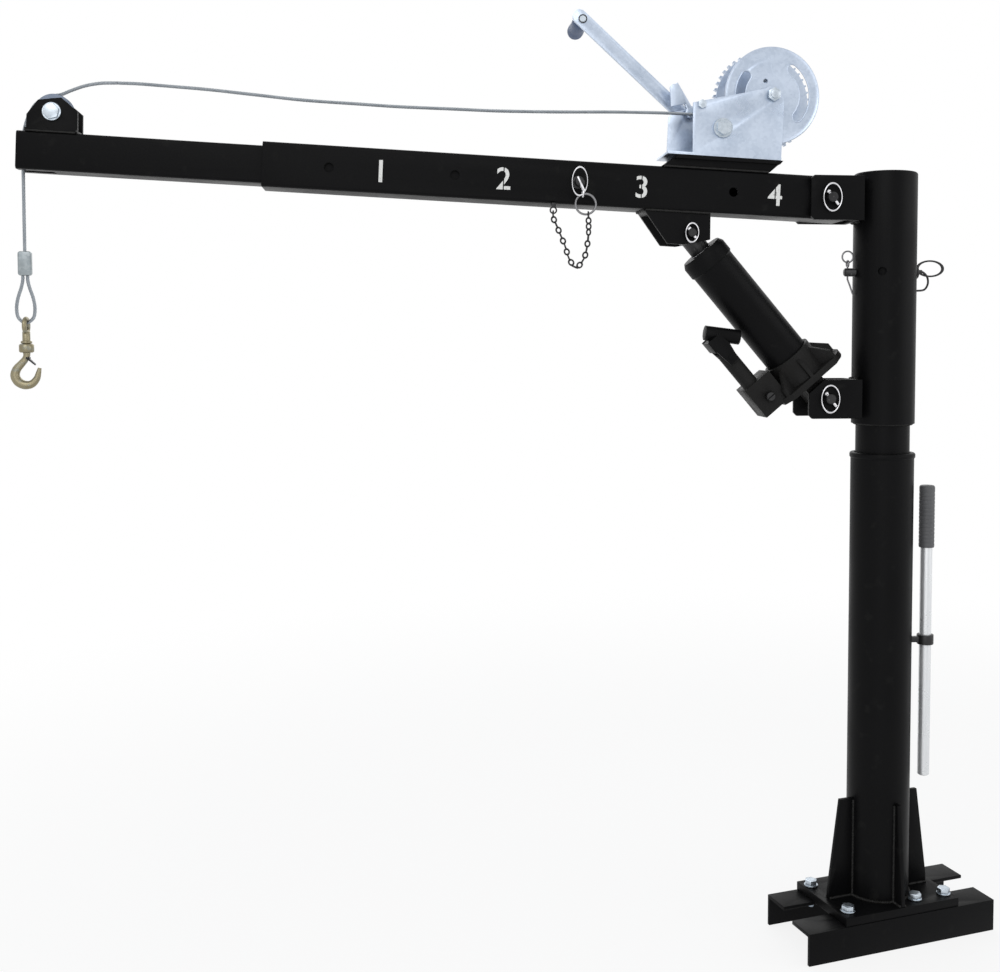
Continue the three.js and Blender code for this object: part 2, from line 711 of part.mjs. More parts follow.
function hookEyeShape() {
  const e = hookEye;
  const hoop = ring(e.radius, e.wire).rotateY(90 * deg).translate(drop.x, 0, e.z);
  return join(
    hoop,
    rodZ(e.shank, drop.x, 0, hook.knobFoot + e.knob, e.z - e.radius + e.wire * half),
    rodZ(hook.pocket - gap, drop.x, 0, hook.knobFoot, hook.knobFoot + e.knob),
  );
}

function hookShape() {
  const h = hook;
  const path = h.path.map(([x, z]) => [drop.x + x, 0, z]);
  const tip = h.path[h.path.length - 1];
  const body = join(
    wire(path, h.wire, facets.small, h.steps),
    rodZ(h.collar, drop.x, 0, h.collarFoot, h.collarTop),
    new THREE.SphereGeometry(h.wire, facets.small, facets.small).translate(drop.x + tip[0], 0, tip[1]),
  );
  const bore = rodZ(h.bore, drop.x, 0, h.knobFoot + hookEye.knob, h.collarTop + overrun);
  const pocket = rodZ(h.pocket, drop.x, 0, h.knobFoot - gap, h.knobFoot + hookEye.knob + gap);
  const side = latch.halfWidth + gap;
  const [px, pz] = [drop.x + latch.pivotX, latch.pivotZ];
  const pin = rodY(latch.pin + gap, px, pz, -h.collar - overrun, h.collar + overrun);
  const earRoom = rodY(latch.ear + gap, px, pz, -side, side, facets.round);
  const swingRoom = block(px - latch.ear * half - gap, px + latch.room, -side, side, pz - latch.room, pz);
  const backRoom = block(px, px + latch.room, -side, side, pz - overrun, pz + latch.ear + gap);
  return cut(body, bore, pocket, earRoom, swingRoom, backRoom, pin);
}

function latchShape() {
  const l = latch;
  const [px, pz] = [drop.x + l.pivotX, l.pivotZ];
  const [tx, tz] = [drop.x + l.tipX, l.tipZ];
  const blade = sidePlate([
    [px, pz + l.ear * half], [tx, tz + l.thick], [tx, tz - l.thick], [px, pz - l.ear * half],
  ], -l.halfWidth, l.halfWidth);
  return join(
    blade,
    rodY(l.ear, px, pz, -l.halfWidth, l.halfWidth),
    rodY(l.pin, px, pz, -hook.wire, hook.wire),
  );
}

// Winch
function winchMountShape() {
  const m = winchMount;
  const top = [[m.fromHigh, m.high], [m.toHigh, m.high], [m.toLow, m.low], [m.fromLow, m.low]];
  const leg = [
    [m.fromLow, m.low + m.lap], [m.toLow, m.low + m.lap], [m.footTo, gap], [m.footFrom, gap],
  ];
  return join(
    boomPlate(top, -m.half, m.half),
    boomPlate(leg, -boomFace, -boomFace + m.leg),
    boomPlate(leg, boomFace - m.leg, boomFace),
  );
}

function winchFrameShape() {
  const f = winchFrame;
  const inner = f.half - f.sheet;
  const reach = f.half + overrun;
  const low = winchMount.high + gap;
  return cut(
    join(
      block(-f.baseTo, -f.baseFrom, -f.half, f.half, low, low + f.baseThick),
      boomPlate(f.near, -f.half, -inner),
      boomPlate(f.far, inner, f.half),
    ),
    rodY(drum.axle + gap, -drum.s, drum.up, -reach, reach),
    rodY(pinion.bush, -pinion.s, pinion.up, -reach, reach, facets.round),
    rodY(tieBar.radius + gap, -tieBar.s, tieBar.up, -reach, reach),
  );
}

function drumAxleShape() {
  const reach = winchFrame.half + gap;
  return join(
    rodY(drum.axle, -drum.s, drum.up, -reach - drum.axleHead - overrun, reach + drum.axleNut),
    hexY(drum.axleFlats, -drum.s, drum.up, -reach - drum.axleHead, -reach),
    hexY(drum.axleFlats, -drum.s, drum.up, reach, reach + drum.axleNut),
  );
}

// Curved slot through the near flange, square at its ends
function kidneySlot(centre) {
  const outer = [];
  const inner = [];
  for (let i = 0; i <= drum.slotSteps; i += 1) {
    const turn = (centre + (i / drum.slotSteps - half) * drum.slotSweep) * deg;
    const [c, s] = [Math.cos(turn), Math.sin(turn)];
    outer.push([(drum.slotRadius + drum.slotHalf) * c, (drum.slotRadius + drum.slotHalf) * s]);
    inner.push([(drum.slotRadius - drum.slotHalf) * c, (drum.slotRadius - drum.slotHalf) * s]);
  }
  const outline = [...outer, ...inner.reverse()];
  const body = sidePlate(outline, drum.nearOut - drum.ribRise - overrun, drum.nearIn + overrun);
  return body.translate(-drum.s, 0, drum.up);
}

function drumSpool() {
  const d = drum;
  const profile = [
    [d.bore, d.nearOut], [d.rib - d.ribHalf * 2, d.nearOut], [d.rib - d.ribHalf, d.nearOut - d.ribRise],
    [d.rib + d.ribHalf, d.nearOut - d.ribRise], [d.rib + d.ribHalf * 2, d.nearOut], [d.flange, d.nearOut],
    [d.flange, d.nearIn], [d.core, d.nearIn], [d.core, d.farIn], [d.flange, d.farIn],
    [d.flange, d.farOut], [d.bore, d.farOut], [d.bore, d.nearOut],
  ];
  const body = turned(profile, facets.disc).rotateX(-90 * deg).scale(1, 1, -1);
  body.translate(-d.s, 0, d.up);
  const smallX = -d.s + d.smallRadius * Math.cos(d.smallTurn * deg);
  const smallZ = d.up + d.smallRadius * Math.sin(d.smallTurn * deg);
  return cut(
    body,
    ...d.slotCentres.map((centre) => kidneySlot(centre)),
    rodY(d.smallHole, smallX, smallZ, d.nearOut - overrun, d.nearIn + overrun),
  );
}

// Involute gear outline in XY about the origin, first tooth centred on +X
function gearOutline(teeth, slack, flankSteps) {
  const pitch = gear.module * teeth * half;
  const base = pitch * Math.cos(gear.pressure * deg);
  const tip = pitch + gear.module;
  const root = pitch - gear.module * gear.footShare;
  const toInvolute = (r) => {
    const a = Math.acos(Math.min(1, base / r));
    return Math.tan(a) - a;
  };
  const halfTooth = (Math.PI * half - slack / gear.module) / teeth + toInvolute(pitch);
  const points = [];
  for (let i = 0; i < teeth; i += 1) {
    const middle = (i / teeth) * Math.PI * 2;
    const start = Math.max(root, base);
    const flank = [];
    for (let k = 0; k <= flankSteps; k += 1) {
      const r = start + (tip - start) * (k / flankSteps);
      flank.push([r, halfTooth - toInvolute(r)]);
    }
    if (root < start) {
      flank.unshift([root, halfTooth - toInvolute(start)]);
    }
    flank.forEach(([r, a]) => points.push([r * Math.cos(middle - a), r * Math.sin(middle - a)]));
    flank.reverse().forEach(([r, a]) => points.push([r * Math.cos(middle + a), r * Math.sin(middle + a)]));
  }
  return points;
}

function gearShape({ teeth, flankSteps, near, far }, turn, s, up) {
  const body = flatPlate(gearOutline(teeth, gear.backlash, flankSteps), 0, far - near);
  return body.rotateX(90 * deg).rotateY(turn).translate(-s, far, up);
}

// Turn about Y that points local +X along the line from (s, up) toward (s2, up2)
function facing(s, up, s2, up2) {
  return -Math.atan2(up2 - up, -(s2 - s));
}

function drumGearShape() {
  const turn = facing(drum.s, drum.up, pinion.s, pinion.up);
  const holes = [];
  for (let i = 0; i < gear.spokes; i += 1) {
    const around = (i / gear.spokes) * Math.PI * 2;
    holes.push(rodY(gear.lighten, -drum.s + gear.spokeRadius * Math.cos(around),
      drum.up + gear.spokeRadius * Math.sin(around), gear.near - overrun, gear.far + overrun));
  }
  return cut(
    gearShape(gear, turn, drum.s, drum.up),
    rodY(drum.bore, -drum.s, drum.up, gear.near - overrun, gear.far + overrun),
    ...holes,
  );
}

function pinionShaft() {
  const p = pinion;
  const turn = facing(p.s, p.up, drum.s, drum.up) + Math.PI / p.teeth;
  const face = winchFrame.half + gap;
  return join(
    gearShape(p, turn, p.s, p.up),
    rodY(p.shaft, -p.s, p.up, p.nearEnd, p.farEnd),
    rodY(p.bush - gap, -p.s, p.up, -winchFrame.half, -winchFrame.half + winchFrame.sheet, facets.round),
    rodY(p.bush - gap, -p.s, p.up, winchFrame.half - winchFrame.sheet, crank.near - gap,
      facets.round),
    rodY(p.flange, -p.s, p.up, -face - p.flangeThick, -face + weld, facets.round),
    rodY(p.bush - gap, -p.s, p.up, -face, -winchFrame.half + weld, facets.round),
    hexY(p.flats, -p.s, p.up, -face - p.flangeThick - p.head, -face - p.flangeThick + weld),
    hexY(p.flats, -p.s, p.up, crank.far + gap, crank.far + gap + p.nut),
  );
}

function tieBarShape() {
  const t = tieBar;
  const reach = winchFrame.half + gap;
  return join(
    rodY(t.radius, -t.s, t.up, -reach - t.nut, reach + t.nut),
    hexY(t.flats, -t.s, t.up, -reach - t.nut, -reach),
    hexY(t.flats, -t.s, t.up, reach, reach + t.nut),
  );
}

function pawlShape() {
  const p = pawl;
  const pivot = new THREE.Vector2(-tieBar.s, tieBar.up);
  const centre = new THREE.Vector2(-drum.s, drum.up);
  const toward = centre.clone().sub(pivot).normalize();
  const across = new THREE.Vector2(-toward.y, toward.x);
  const tipRadius = gear.module * gear.teeth * half + gear.module + p.clear;
  const tip = centre.clone().addScaledVector(toward, -tipRadius);
  const beak = [
    pivot.clone().addScaledVector(across, p.beak), pivot.clone().addScaledVector(across, -p.beak),
    tip.clone().addScaledVector(across, -p.beak * half), tip.clone().addScaledVector(across, p.beak * half),
  ].map((v) => [v.x, v.y]);
  const lever = new THREE.Vector2(-p.leverS, p.leverUp);
  const along = lever.clone().sub(pivot).normalize();
  const side = new THREE.Vector2(-along.y, along.x);
  const blade = [
    pivot.clone().addScaledVector(side, p.leverHalf),
    pivot.clone().addScaledVector(side, -p.leverHalf),
    lever.clone().addScaledVector(side, -p.leverHalf * half),
    lever.clone().addScaledVector(side, p.leverHalf * half),
  ].map((v) => [v.x, v.y]);
  return cut(
    join(sidePlate(beak, p.near, p.far), sidePlate(blade, p.near, p.far),
      rodY(p.hub, pivot.x, pivot.y, p.near, p.far)),
    rodY(p.bore, pivot.x, pivot.y, p.near - overrun, p.far + overrun),
  );
}

function crankArm() {
  const c = crank;
  const a = new THREE.Vector2(-pinion.s, pinion.up);
  const b = new THREE.Vector2(-c.tipS, c.tipUp);
  const along = b.clone().sub(a).normalize();
  const side = new THREE.Vector2(-along.y, along.x).multiplyScalar(c.half);
  const end = b.clone().addScaledVector(along, c.over);
  const bar = [a.clone().add(side), a.clone().sub(side), end.clone().sub(side), end.clone().add(side)];
  return join(
    cut(
      join(sidePlate(bar.map((v) => [v.x, v.y]), c.near, c.far), rodY(c.half, a.x, a.y, c.near, c.far),
        rodY(c.half, end.x, end.y, c.near, c.far)),
      rodY(pinion.shaft + gap, a.x, a.y, c.near - overrun, c.far + overrun),
    ),
    rodY(c.spindle, b.x, b.y, c.far - overrun, c.spindleEnd),
    rodY(c.spindleHead, b.x, b.y, c.spindleEnd - c.spindleHeadThick, c.spindleEnd),
    rodY(c.spindleHead, b.x, b.y, c.near - c.rivet, c.near + c.rivet),
  );
}

function crankGrip() {
  const c = crank;
  const profile = [
    [c.spindle + gap, c.gripFrom], [c.gripNeck, c.gripFrom], [c.grip, c.gripFrom + c.gripNeck],
    [c.grip, c.gripTo - c.gripNeck], [c.gripNeck, c.gripTo], [c.spindle + gap, c.gripTo],
    [c.spindle + gap, c.gripFrom],
  ];
  const body = turned(profile, facets.round).rotateX(-90 * deg).scale(1, 1, -1);
  return body.translate(-c.tipS, 0, c.tipUp);
}

// Rope on the drum: starts square to the near flange, bends into the helix, leaves level
// toward the boom tip at the drum's underside
class DrumRoute extends THREE.Curve {
  constructor() {
    super();
    this.straight = winding.bendY - winding.startY;
    this.exit = rope.radius * rope.exitShare;
    this.coil = winding.loops * Math.PI * 2 * winding.radius;
    this.total = this.straight + this.coil + this.exit;
  }

  getPoint(share, target = new THREE.Vector3()) {
    const along = share * this.total;
    const whole = winding.loops * Math.PI * 2;
    const settle = whole * winding.settleShare;
    if (along <= this.straight) {
      return this.onDrum(whole, winding.startY + along, target);
    }
    if (along >= this.straight + this.coil) {
      this.onDrum(0, 0, target);
      target.x -= along - this.straight - this.coil;
      return target;
    }
    const wound = (along - this.straight) / winding.radius;
    const plain = (wound - whole) * (winding.pitch / (Math.PI * 2));
    const lead = Math.max(0, 1 - wound / settle);
    const extra = (winding.bendY + (whole * winding.pitch) / (Math.PI * 2)) * lead * lead;
    return this.onDrum(whole - wound, plain + extra, target);
  }

  onDrum(turn, y, target) {
    const x = -drum.s + winding.radius * Math.sin(turn);
    return target.set(x, y, drum.up - winding.radius * Math.cos(turn));
  }
}

function drumCable() {
  const route = new DrumRoute();
  const steps = winding.loops * winding.stepsPerLoop + winding.endSteps;
  const points = route.getSpacedPoints(steps);
  const near = winding.stepsPerLoop * half;
  let least = Infinity;
  points.forEach((p, i) => {
    for (let k = i + near; k < points.length; k += 1) {
      least = Math.min(least, p.distanceTo(points[k]));
    }
  });
  console.log(`drum rope least gap to itself ${(least - rope.radius * 2).toFixed(2)} mm`);
  return sweep(route, rope.radius, winding.sides, steps);
}

// Jack
function jackBase() {
  const j = jack;
  const plan = flatPlate(j.plan, j.floor, j.foot);
  const seat = cylinder.radius + gap;
  const room = flatPlate(j.plan, j.floor, j.bossTop);
  const pumpReach = j.pumpRadius + overrun;
  const ribs = j.ribs.map((turn) => sidePlate([
    [seat - j.ribThick, j.floor], [j.ribReach, j.floor], [j.ribReach, j.foot + j.ribRise],
    [j.boss, j.bossTop - j.ribRise], [seat - j.ribThick, j.bossTop - j.ribRise],
  ], -j.ribThick * half, j.ribThick * half).rotateZ(turn * deg));
  const trimmedRibs = ribs.map((rib) => meet(rib, room));
  return cut(
    join(
      plan,
      rodZ(j.boss, 0, 0, j.floor, j.bossTop, facets.fine),
      block(j.pumpBlockFrom, j.pumpBlockTo, j.pumpY - j.pumpBlock, j.pumpBlock, j.pumpFoot, j.pumpBlockTop),
      rodZ(j.pumpRadius, j.pumpN, j.pumpY, j.pumpFoot, j.pumpTop, facets.round),
      block(-j.lugHalf, j.lugHalf, -j.lug, j.lug, 0, j.floor + weld),
      rodY(j.lugHalf, 0, 0, -j.lug, j.lug, facets.round),
      ...trimmedRibs,
    ),
    rodZ(seat, 0, 0, j.seat, j.pumpBlockTop + overrun, facets.fine),
    rodY(pivotPin.radius + gap, 0, 0, -j.lug - overrun, j.lug + overrun),
    rodY(socket.pin + gap, socket.pivotN, socket.pivotT, j.pumpY - pumpReach, j.pumpY + pumpReach),
    rodY(valve.bore, valve.n, valve.t, valve.y - overrun, valve.y + valve.depth + gap),
  );
}

function jackCylinder() {
  const c = cylinder;
  return turned([
    [0, c.bottom], [c.radius, c.bottom], [c.radius, c.capFrom - c.capStep], [c.cap, c.capFrom],
    [c.cap, c.capTo], [c.cap - c.capEdge, c.top], [c.bore, c.top], [c.bore, c.shoulder],
    [c.inner, c.shoulder], [c.inner, c.floor], [0, c.floor],
  ]);
}

function jackRam(eyeT) {
  const r = ram;
  return cut(
    join(
      rodZ(r.radius, 0, 0, r.pistonFrom, eyeT, facets.round),
      rodZ(r.piston, 0, 0, r.pistonFrom, r.pistonTo, facets.fine),
      rodY(r.eye, 0, eyeT, -r.eyeHalf, r.eyeHalf, facets.round),
    ),
    rodY(r.eyeBore, 0, eyeT, -r.radius - overrun, r.radius + overrun, facets.round),
  );
}

function pumpSocket() {
  const k = socket;
  const [a, b] = [[k.from[1], jack.pumpY, k.from[0]], [k.to[1], jack.pumpY, k.to[0]]];
  const way = new THREE.Vector3(...b).sub(new THREE.Vector3(...a)).normalize();
  const inner = new THREE.Vector3(...a).addScaledVector(way, k.floor).toArray();
  const past = new THREE.Vector3(...b).addScaledVector(way, overrun).toArray();
  const [near, far] = [jack.pumpY - k.cheekFar, jack.pumpY + k.cheekFar];
  return cut(
    join(
      rodBetween(k.radius, a, b, facets.round),
      jackPlate(k.cheek, near, jack.pumpY - k.cheekNear),
      jackPlate(k.cheek, jack.pumpY + k.cheekNear, far),
      block(k.webN[0], k.webN[1], near, far, k.webFrom, k.webTo),
      rodY(k.pin, k.pivotN, k.pivotT, near - k.pin * half, far + k.pin * half),
    ),
    rodBetween(k.bore, inner, past),
  );
}

function releaseValve() {
  const v = valve;
  return cut(
    rodY(v.radius, v.n, v.t, v.y + v.depth - v.length, v.y + v.depth),
    block(v.n - v.radius - overrun, v.n + v.radius + overrun, v.y + v.depth - v.length - overrun,
      v.y + v.depth - v.length + v.slotDeep, v.t - v.slot * half, v.t + v.slot * half),
  );
}

// Carried handle
function handleCentre() {
  return [handle.reach * Math.cos(handle.azimuth * deg), handle.reach * Math.sin(handle.azimuth * deg)];
}

function handleClip() {
  const h = handle;
  const [low, high] = [h.clipZ - h.clipHalf, h.clipZ + h.clipHalf];
  const arm = block(post.radius + gap, h.reach, -h.armHalf, h.armHalf, low + h.armThick * half,
    high - h.armThick * half);
  arm.rotateZ(h.azimuth * deg);
  const [x, y] = handleCentre();
  return cut(
    join(arm, rodZ(h.clipRadius, x, y, low, high, facets.round)),
    rodZ(h.clipBore, x, y, low - overrun, high + overrun, facets.round),
  );
}

function handleGrip() {
  const h = handle;
  const [x, y] = handleCentre();
  const profile = [
    [h.bar + gap, h.gripBottom], [h.grip, h.gripBottom], [h.grip, h.gripTop - h.gripEdge],
    [h.grip - h.gripEdge, h.gripTop], [0, h.gripTop], [0, h.top + gap], [h.bar + gap, h.top + gap],
    [h.bar + gap, h.gripBottom],
  ];
  return turned(profile, facets.round).translate(x, y, 0);
}

// Assembly
const crane = new THREE.Group();
crane.name = 'truck_crane';

const base = new THREE.Group();
base.name = 'base_group';
crane.add(base);
piece(base, 'base_angle_front', baseAngle(-1, angle.frontShift, boltsFront), blackPaint);
piece(base, 'base_angle_rear', baseAngle(1, angle.rearShift, boltsRear), blackPaint);
piece(base, 'base_plate', basePlateShape(), blackPaint);
boltsFront.forEach((x, i) => {
  piece(base, `base_bolt_front_${i + 1}`, baseBoltShape(x, -boltRow), zinc);
});
boltsRear.forEach((x, i) => {
  piece(base, `base_bolt_rear_${i + 1}`, baseBoltShape(x, boltRow), zinc);
});
piece(base, 'lower_post', lowerPost(), blackPaint);
['right', 'rear', 'left', 'front'].forEach((side, i) => {
  const across = i % 2 === 0;
  const foot = across ? plateEnd - gusset.insetX : plateSide - gusset.insetY;
  const rib = gussetShape(foot, across ? gusset.topX : gusset.topY);
  rib.rotateZ(i * 90 * deg);
  piece(base, `gusset_${side}`, rib, blackPaint);
});
piece(base, 'neck_bearing_ring', bearingRing(), silver);
piece(base, 'handle_clip', handleClip(), blackOxide);
piece(base, 'jack_handle_bar', rodZ(handle.bar, ...handleCentre(), handle.bottom, handle.top), silver);
piece(base, 'jack_handle_grip', handleGrip(), darkGrip);

const head = new THREE.Group();
head.name = 'head_group';
head.rotation.z = headTurn * deg;
crane.add(head);
piece(head, 'neck_tube', neckTube(), blackPaint);
piece(head, 'head_tube', headTubeShape(), blackPaint);
piece(head, 'boom_bracket', bracketShape(
  bracket.upper, bracket.upperHalf, bracket.upperHalf, bracket.edge, bracket.edge,
), blackPaint);
piece(head, 'jack_bracket', bracketShape(
  bracket.lower, bracket.lowerTop, bracket.lowerFoot, bracket.cornerX, bracket.cornerZ,
), blackPaint);
piece(head, 'head_pin', headPinShape(), blackOxide);
piece(head, 'head_pin_clip', headClipShape(), nickel);

[['boom_pivot_pin', bracket.upper], ['jack_lower_pin', bracket.lower]].forEach(([name, z]) => {
  const holder = new THREE.Group();
  holder.name = `${name}_group`;
  holder.position.set(bracket.pivotX, 0, z);
  head.add(holder);
  piece(holder, name, pinShape(pivotPin, bracketInner + bracket.plate), nickel);
});

const boomGroup = new THREE.Group();
boomGroup.name = 'boom_group';
boomGroup.position.set(bracket.pivotX, 0, bracket.upper);
boomGroup.rotation.y = boomPitch * deg;
head.add(boomGroup);
piece(boomGroup, 'boom_tube', boomTube(), blackPaint);
piece(boomGroup, 'boom_lug', boomLugShape(), blackPaint);
piece(boomGroup, 'boom_lock_pin', lockPinShape(), blackOxide);
piece(boomGroup, 'lock_pin_ring', lockPinRing(), blackOxide);
piece(boomGroup, 'lock_chain', chainShape(), blackOxide);

const upperPinGroup = new THREE.Group();
upperPinGroup.name = 'jack_upper_pin_group';
upperPinGroup.position.set(-boomLug.pinS, 0, upperPinUp);
boomGroup.add(upperPinGroup);
piece(upperPinGroup, 'jack_upper_pin', pinShape(upperPin, boomLug.inner + boomLug.plate), nickel);

// Winch and rope stand on the top face of the boom
const deck = new THREE.Group();
deck.name = 'deck_group';
deck.position.z = boomFace;
boomGroup.add(deck);
piece(deck, 'winch_mount', winchMountShape(), blackPaint);
piece(deck, 'winch_frame', winchFrameShape(), zinc);
piece(deck, 'winch_tie_bar', tieBarShape(), zinc);
piece(deck, 'drum_axle', drumAxleShape(), zinc);
piece(deck, 'drum_spool', drumSpool(), zinc);
piece(deck, 'drum_gear', drumGearShape(), zinc);
piece(deck, 'drum_cable', drumCable(), wireSteel);
piece(deck, 'pinion_shaft', pinionShaft(), zinc);
piece(deck, 'pawl', pawlShape(), zinc);
piece(deck, 'crank_arm', crankArm(), zinc);
piece(deck, 'crank_grip', crankGrip(), darkGrip);
piece(deck, 'cable_run',
  wire(rope.run.map(([s, up]) => [-s, 0, up]), rope.radius, rope.sides, rope.runSteps), wireSteel);
piece(deck, 'cable_over',
  wire(rope.over.map(([s, up]) => [-s, 0, up]), rope.radius, rope.sides, rope.overSteps), wireSteel);

piece(boomGroup, 'boom_extension', boomExtension(), blackPaint);
const tip = new THREE.Group();
tip.name = 'tip_group';
tip.position.set(-extension.tip, 0, extensionFace);
boomGroup.add(tip);
piece(tip, 'sheave_bracket', sheaveBracketShape(), blackPaint);
piece(tip, 'sheave', sheaveShape(), zinc);
piece(tip, 'sheave_pin', sheavePinShape(), nickel);

piece(head, 'cable_drop', wire(
  [[drop.x, 0, ferrule.top + gap], [drop.x, 0, drop.top]], rope.radius, rope.sides, rope.dropSteps,
), wireSteel);
piece(head, 'cable_ferrule', ferruleShape(), silver);
piece(head, 'cable_eye', ropeEyeShape(), wireSteel);
piece(head, 'hook_eye', hookEyeShape(), yellowZinc);
piece(head, 'hook', hookShape(), yellowZinc);
piece(head, 'hook_latch', latchShape(), blackOxide);

// Jack axis runs from the lower pin to the upper pin of the boom lug
const upper = new THREE.Vector3(-boomLug.pinS, 0, upperPinUp)
  .applyAxisAngle(new THREE.Vector3(0, 1, 0), boomPitch * deg)
  .add(new THREE.Vector3(0, 0, bracket.upper - bracket.lower));
const jackGroup = new THREE.Group();
jackGroup.name = 'jack_group';
jackGroup.position.set(bracket.pivotX, 0, bracket.lower);
jackGroup.rotation.y = Math.atan2(upper.x, upper.z);
head.add(jackGroup);
piece(jackGroup, 'jack_base', jackBase(), castBlack);
piece(jackGroup, 'jack_cylinder', jackCylinder(), blackPaint);
piece(jackGroup, 'jack_ram', jackRam(upper.length()), silver);
piece(jackGroup, 'pump_socket', pumpSocket(), blackPaint);
piece(jackGroup, 'release_valve', releaseValve(), blackOxide);

export default crane;
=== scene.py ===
import json
import math
import bmesh
import bpy
from mathutils import Matrix, Vector


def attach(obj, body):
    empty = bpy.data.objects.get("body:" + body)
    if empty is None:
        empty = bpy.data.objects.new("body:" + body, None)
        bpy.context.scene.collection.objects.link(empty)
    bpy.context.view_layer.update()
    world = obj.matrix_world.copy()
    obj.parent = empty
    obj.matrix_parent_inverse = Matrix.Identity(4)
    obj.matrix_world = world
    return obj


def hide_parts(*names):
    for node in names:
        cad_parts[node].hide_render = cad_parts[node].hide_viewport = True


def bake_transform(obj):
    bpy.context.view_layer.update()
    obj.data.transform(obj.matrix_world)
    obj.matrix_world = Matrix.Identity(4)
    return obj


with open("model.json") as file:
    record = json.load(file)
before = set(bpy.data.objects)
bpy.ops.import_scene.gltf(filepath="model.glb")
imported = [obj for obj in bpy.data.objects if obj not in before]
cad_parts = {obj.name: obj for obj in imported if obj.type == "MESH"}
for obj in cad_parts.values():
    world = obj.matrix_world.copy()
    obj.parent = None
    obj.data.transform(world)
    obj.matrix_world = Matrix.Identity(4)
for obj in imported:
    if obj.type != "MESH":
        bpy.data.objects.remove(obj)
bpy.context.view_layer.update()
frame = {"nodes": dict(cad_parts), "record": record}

nodes, ops = frame["nodes"], bmesh.ops
mm = 0.001
print("frame loaded,", len(nodes), "nodes")

# the crane's own places in mm and degrees, the same as in its CAD source
crane = {"swivel": -13.627, "pivotX": -93, "boomPivot": 1016, "boomLean": 2.606,
         "jackPivot": 735, "jackLean": -40.398, "plateTop": 12.3, "mastPinUp": 914,
         "drumAxis": (90.5, 135.5), "lugPin": (-194, 0, -59), "lockPinX": -356,
         "crankGrip": (-349.4, 0, 240.6), "tipAxis": (-1053.4, 0, 52.6), "dropX": -1184.5,
         "handleSpot": (68, -15)}


def turn(angle, axis):
    return Matrix.Rotation(math.radians(angle), 4, axis)


def shift(x, y, z):
    return Matrix.Translation((x * mm, y * mm, z * mm))


asMade = Matrix.Identity(4)
alongY = turn(-90, "X")  # lays down along Y what is made along Z
alongX = turn(90, "Y")
facingY = turn(90, "X")  # stands up what lies flat, to face the near side
headFrame = turn(crane["swivel"], "Z")
boomPivot = headFrame @ shift(crane["pivotX"], 0, crane["boomPivot"])
jackPivot = headFrame @ shift(crane["pivotX"], 0, crane["jackPivot"])
boomFrame = boomPivot @ turn(crane["boomLean"], "Y")
jackFrame = jackPivot @ turn(crane["jackLean"], "Y")
gripFrame = boomFrame @ shift(*crane["crankGrip"]) @ alongY
tipFrame = boomFrame @ shift(*crane["tipAxis"]) @ alongY


def boomPoint(s, y, up):  # s runs from the pivot to the tip
    return boomFrame @ Vector((-s * mm, y * mm, up * mm))


def headPoint(x, y, z):
    return headFrame @ Vector((x * mm, y * mm, z * mm))


def polar(radius, angle):  # x and y at an angle in degrees
    return radius * math.cos(math.radians(angle)), radius * math.sin(math.radians(angle))


def linked(name, data):
    made = bpy.data.objects.new(name, data)
    bpy.context.collection.objects.link(made)
    return made


# the photograph's camera
view = {"lens": 44.757, "sensor": 36, "shiftX": -0.0373, "shiftY": -0.0911, "yaw": 20.211,
        "pitch": 2.639, "place": (-1.08539, -1.50704, 0.8209), "near": 0.05, "far": 200}
camera = linked("photoCamera", bpy.data.cameras.new("photoCamera"))
camera.data.sensor_width, camera.data.lens = view["sensor"], view["lens"]
camera.data.shift_x, camera.data.shift_y = view["shiftX"], view["shiftY"]
camera.data.clip_start, camera.data.clip_end = view["near"], view["far"]
camera.location = view["place"]
camera.rotation_euler = (math.radians(90 - view["pitch"]), 0, math.radians(-view["yaw"]))
bpy.context.scene.camera = camera
bpy.context.scene.view_settings.view_transform = "Standard"

# place in metres, size and power of each lamp
lamps = {"key": ((-2.6, -3.2, 3.4), 3.4, 48), "fill": ((2.8, -2.4, 1.6), 3.0, 22),
         "back": ((0.6, 3.0, 2.6), 3.2, 26), "low": ((-1.6, -2.6, 0.3), 1.8, 8)}
lampTarget = Vector((-0.4, 0.05, 0.7))
for lampName, (place, size, power) in lamps.items():
    lamp = linked(lampName, bpy.data.lights.new(lampName, "AREA"))
    lamp.data.shape, lamp.data.size, lamp.data.energy = "DISK", size, power
    lamp.location = place
    lamp.rotation_euler = (lampTarget - Vector(place)).to_track_quat("-Z", "Y").to_euler()
print("camera and", len(lamps), "lamps placed")


class Wire:  # an output socket; arithmetic on it adds Math nodes
    def __init__(self, graph, socket):
        self.graph, self.socket = graph, socket

    def math(self, operation, a, b):
        made = self.graph.add("Math", {0: a, 1: b}, {"operation": operation})
        return self.graph.wire(made)

    def __add__(self, other): return self.math("ADD", self, other)
    def __sub__(self, other): return self.math("SUBTRACT", self, other)
    def __rsub__(self, other): return self.math("SUBTRACT", other, self)
    def __mul__(self, other): return self.math("MULTIPLY", self, other)
    __radd__, __rmul__ = __add__, __mul__


class Graph:  # a node tree
    def __init__(self, tree):
        self.tree = tree

    def add(self, kind, sockets={}, settings={}):  # sockets take values or wires
        node = self.tree.nodes.new("ShaderNode" + kind)
        for key, value in settings.items():
            setattr(node, key, value)
        for key, value in sockets.items():
            self.feed(node.inputs[key], value)
        return node

    def feed(self, socket, value):
        if isinstance(value, Wire):
            self.tree.links.new(value.socket, socket)
        else:
            socket.default_value = value

    def wire(self, node, output=0):
        return Wire(self, node.outputs[output])

    def step(self, value, low, high, to=(0.0, 1.0)):
        made = self.add("MapRange", {"Value": value, "From Min": low, "From Max": high,
                                     "To Min": to[0], "To Max": to[1]},
                        {"interpolation_type": "SMOOTHSTEP"})
        return self.wire(made, "Result")


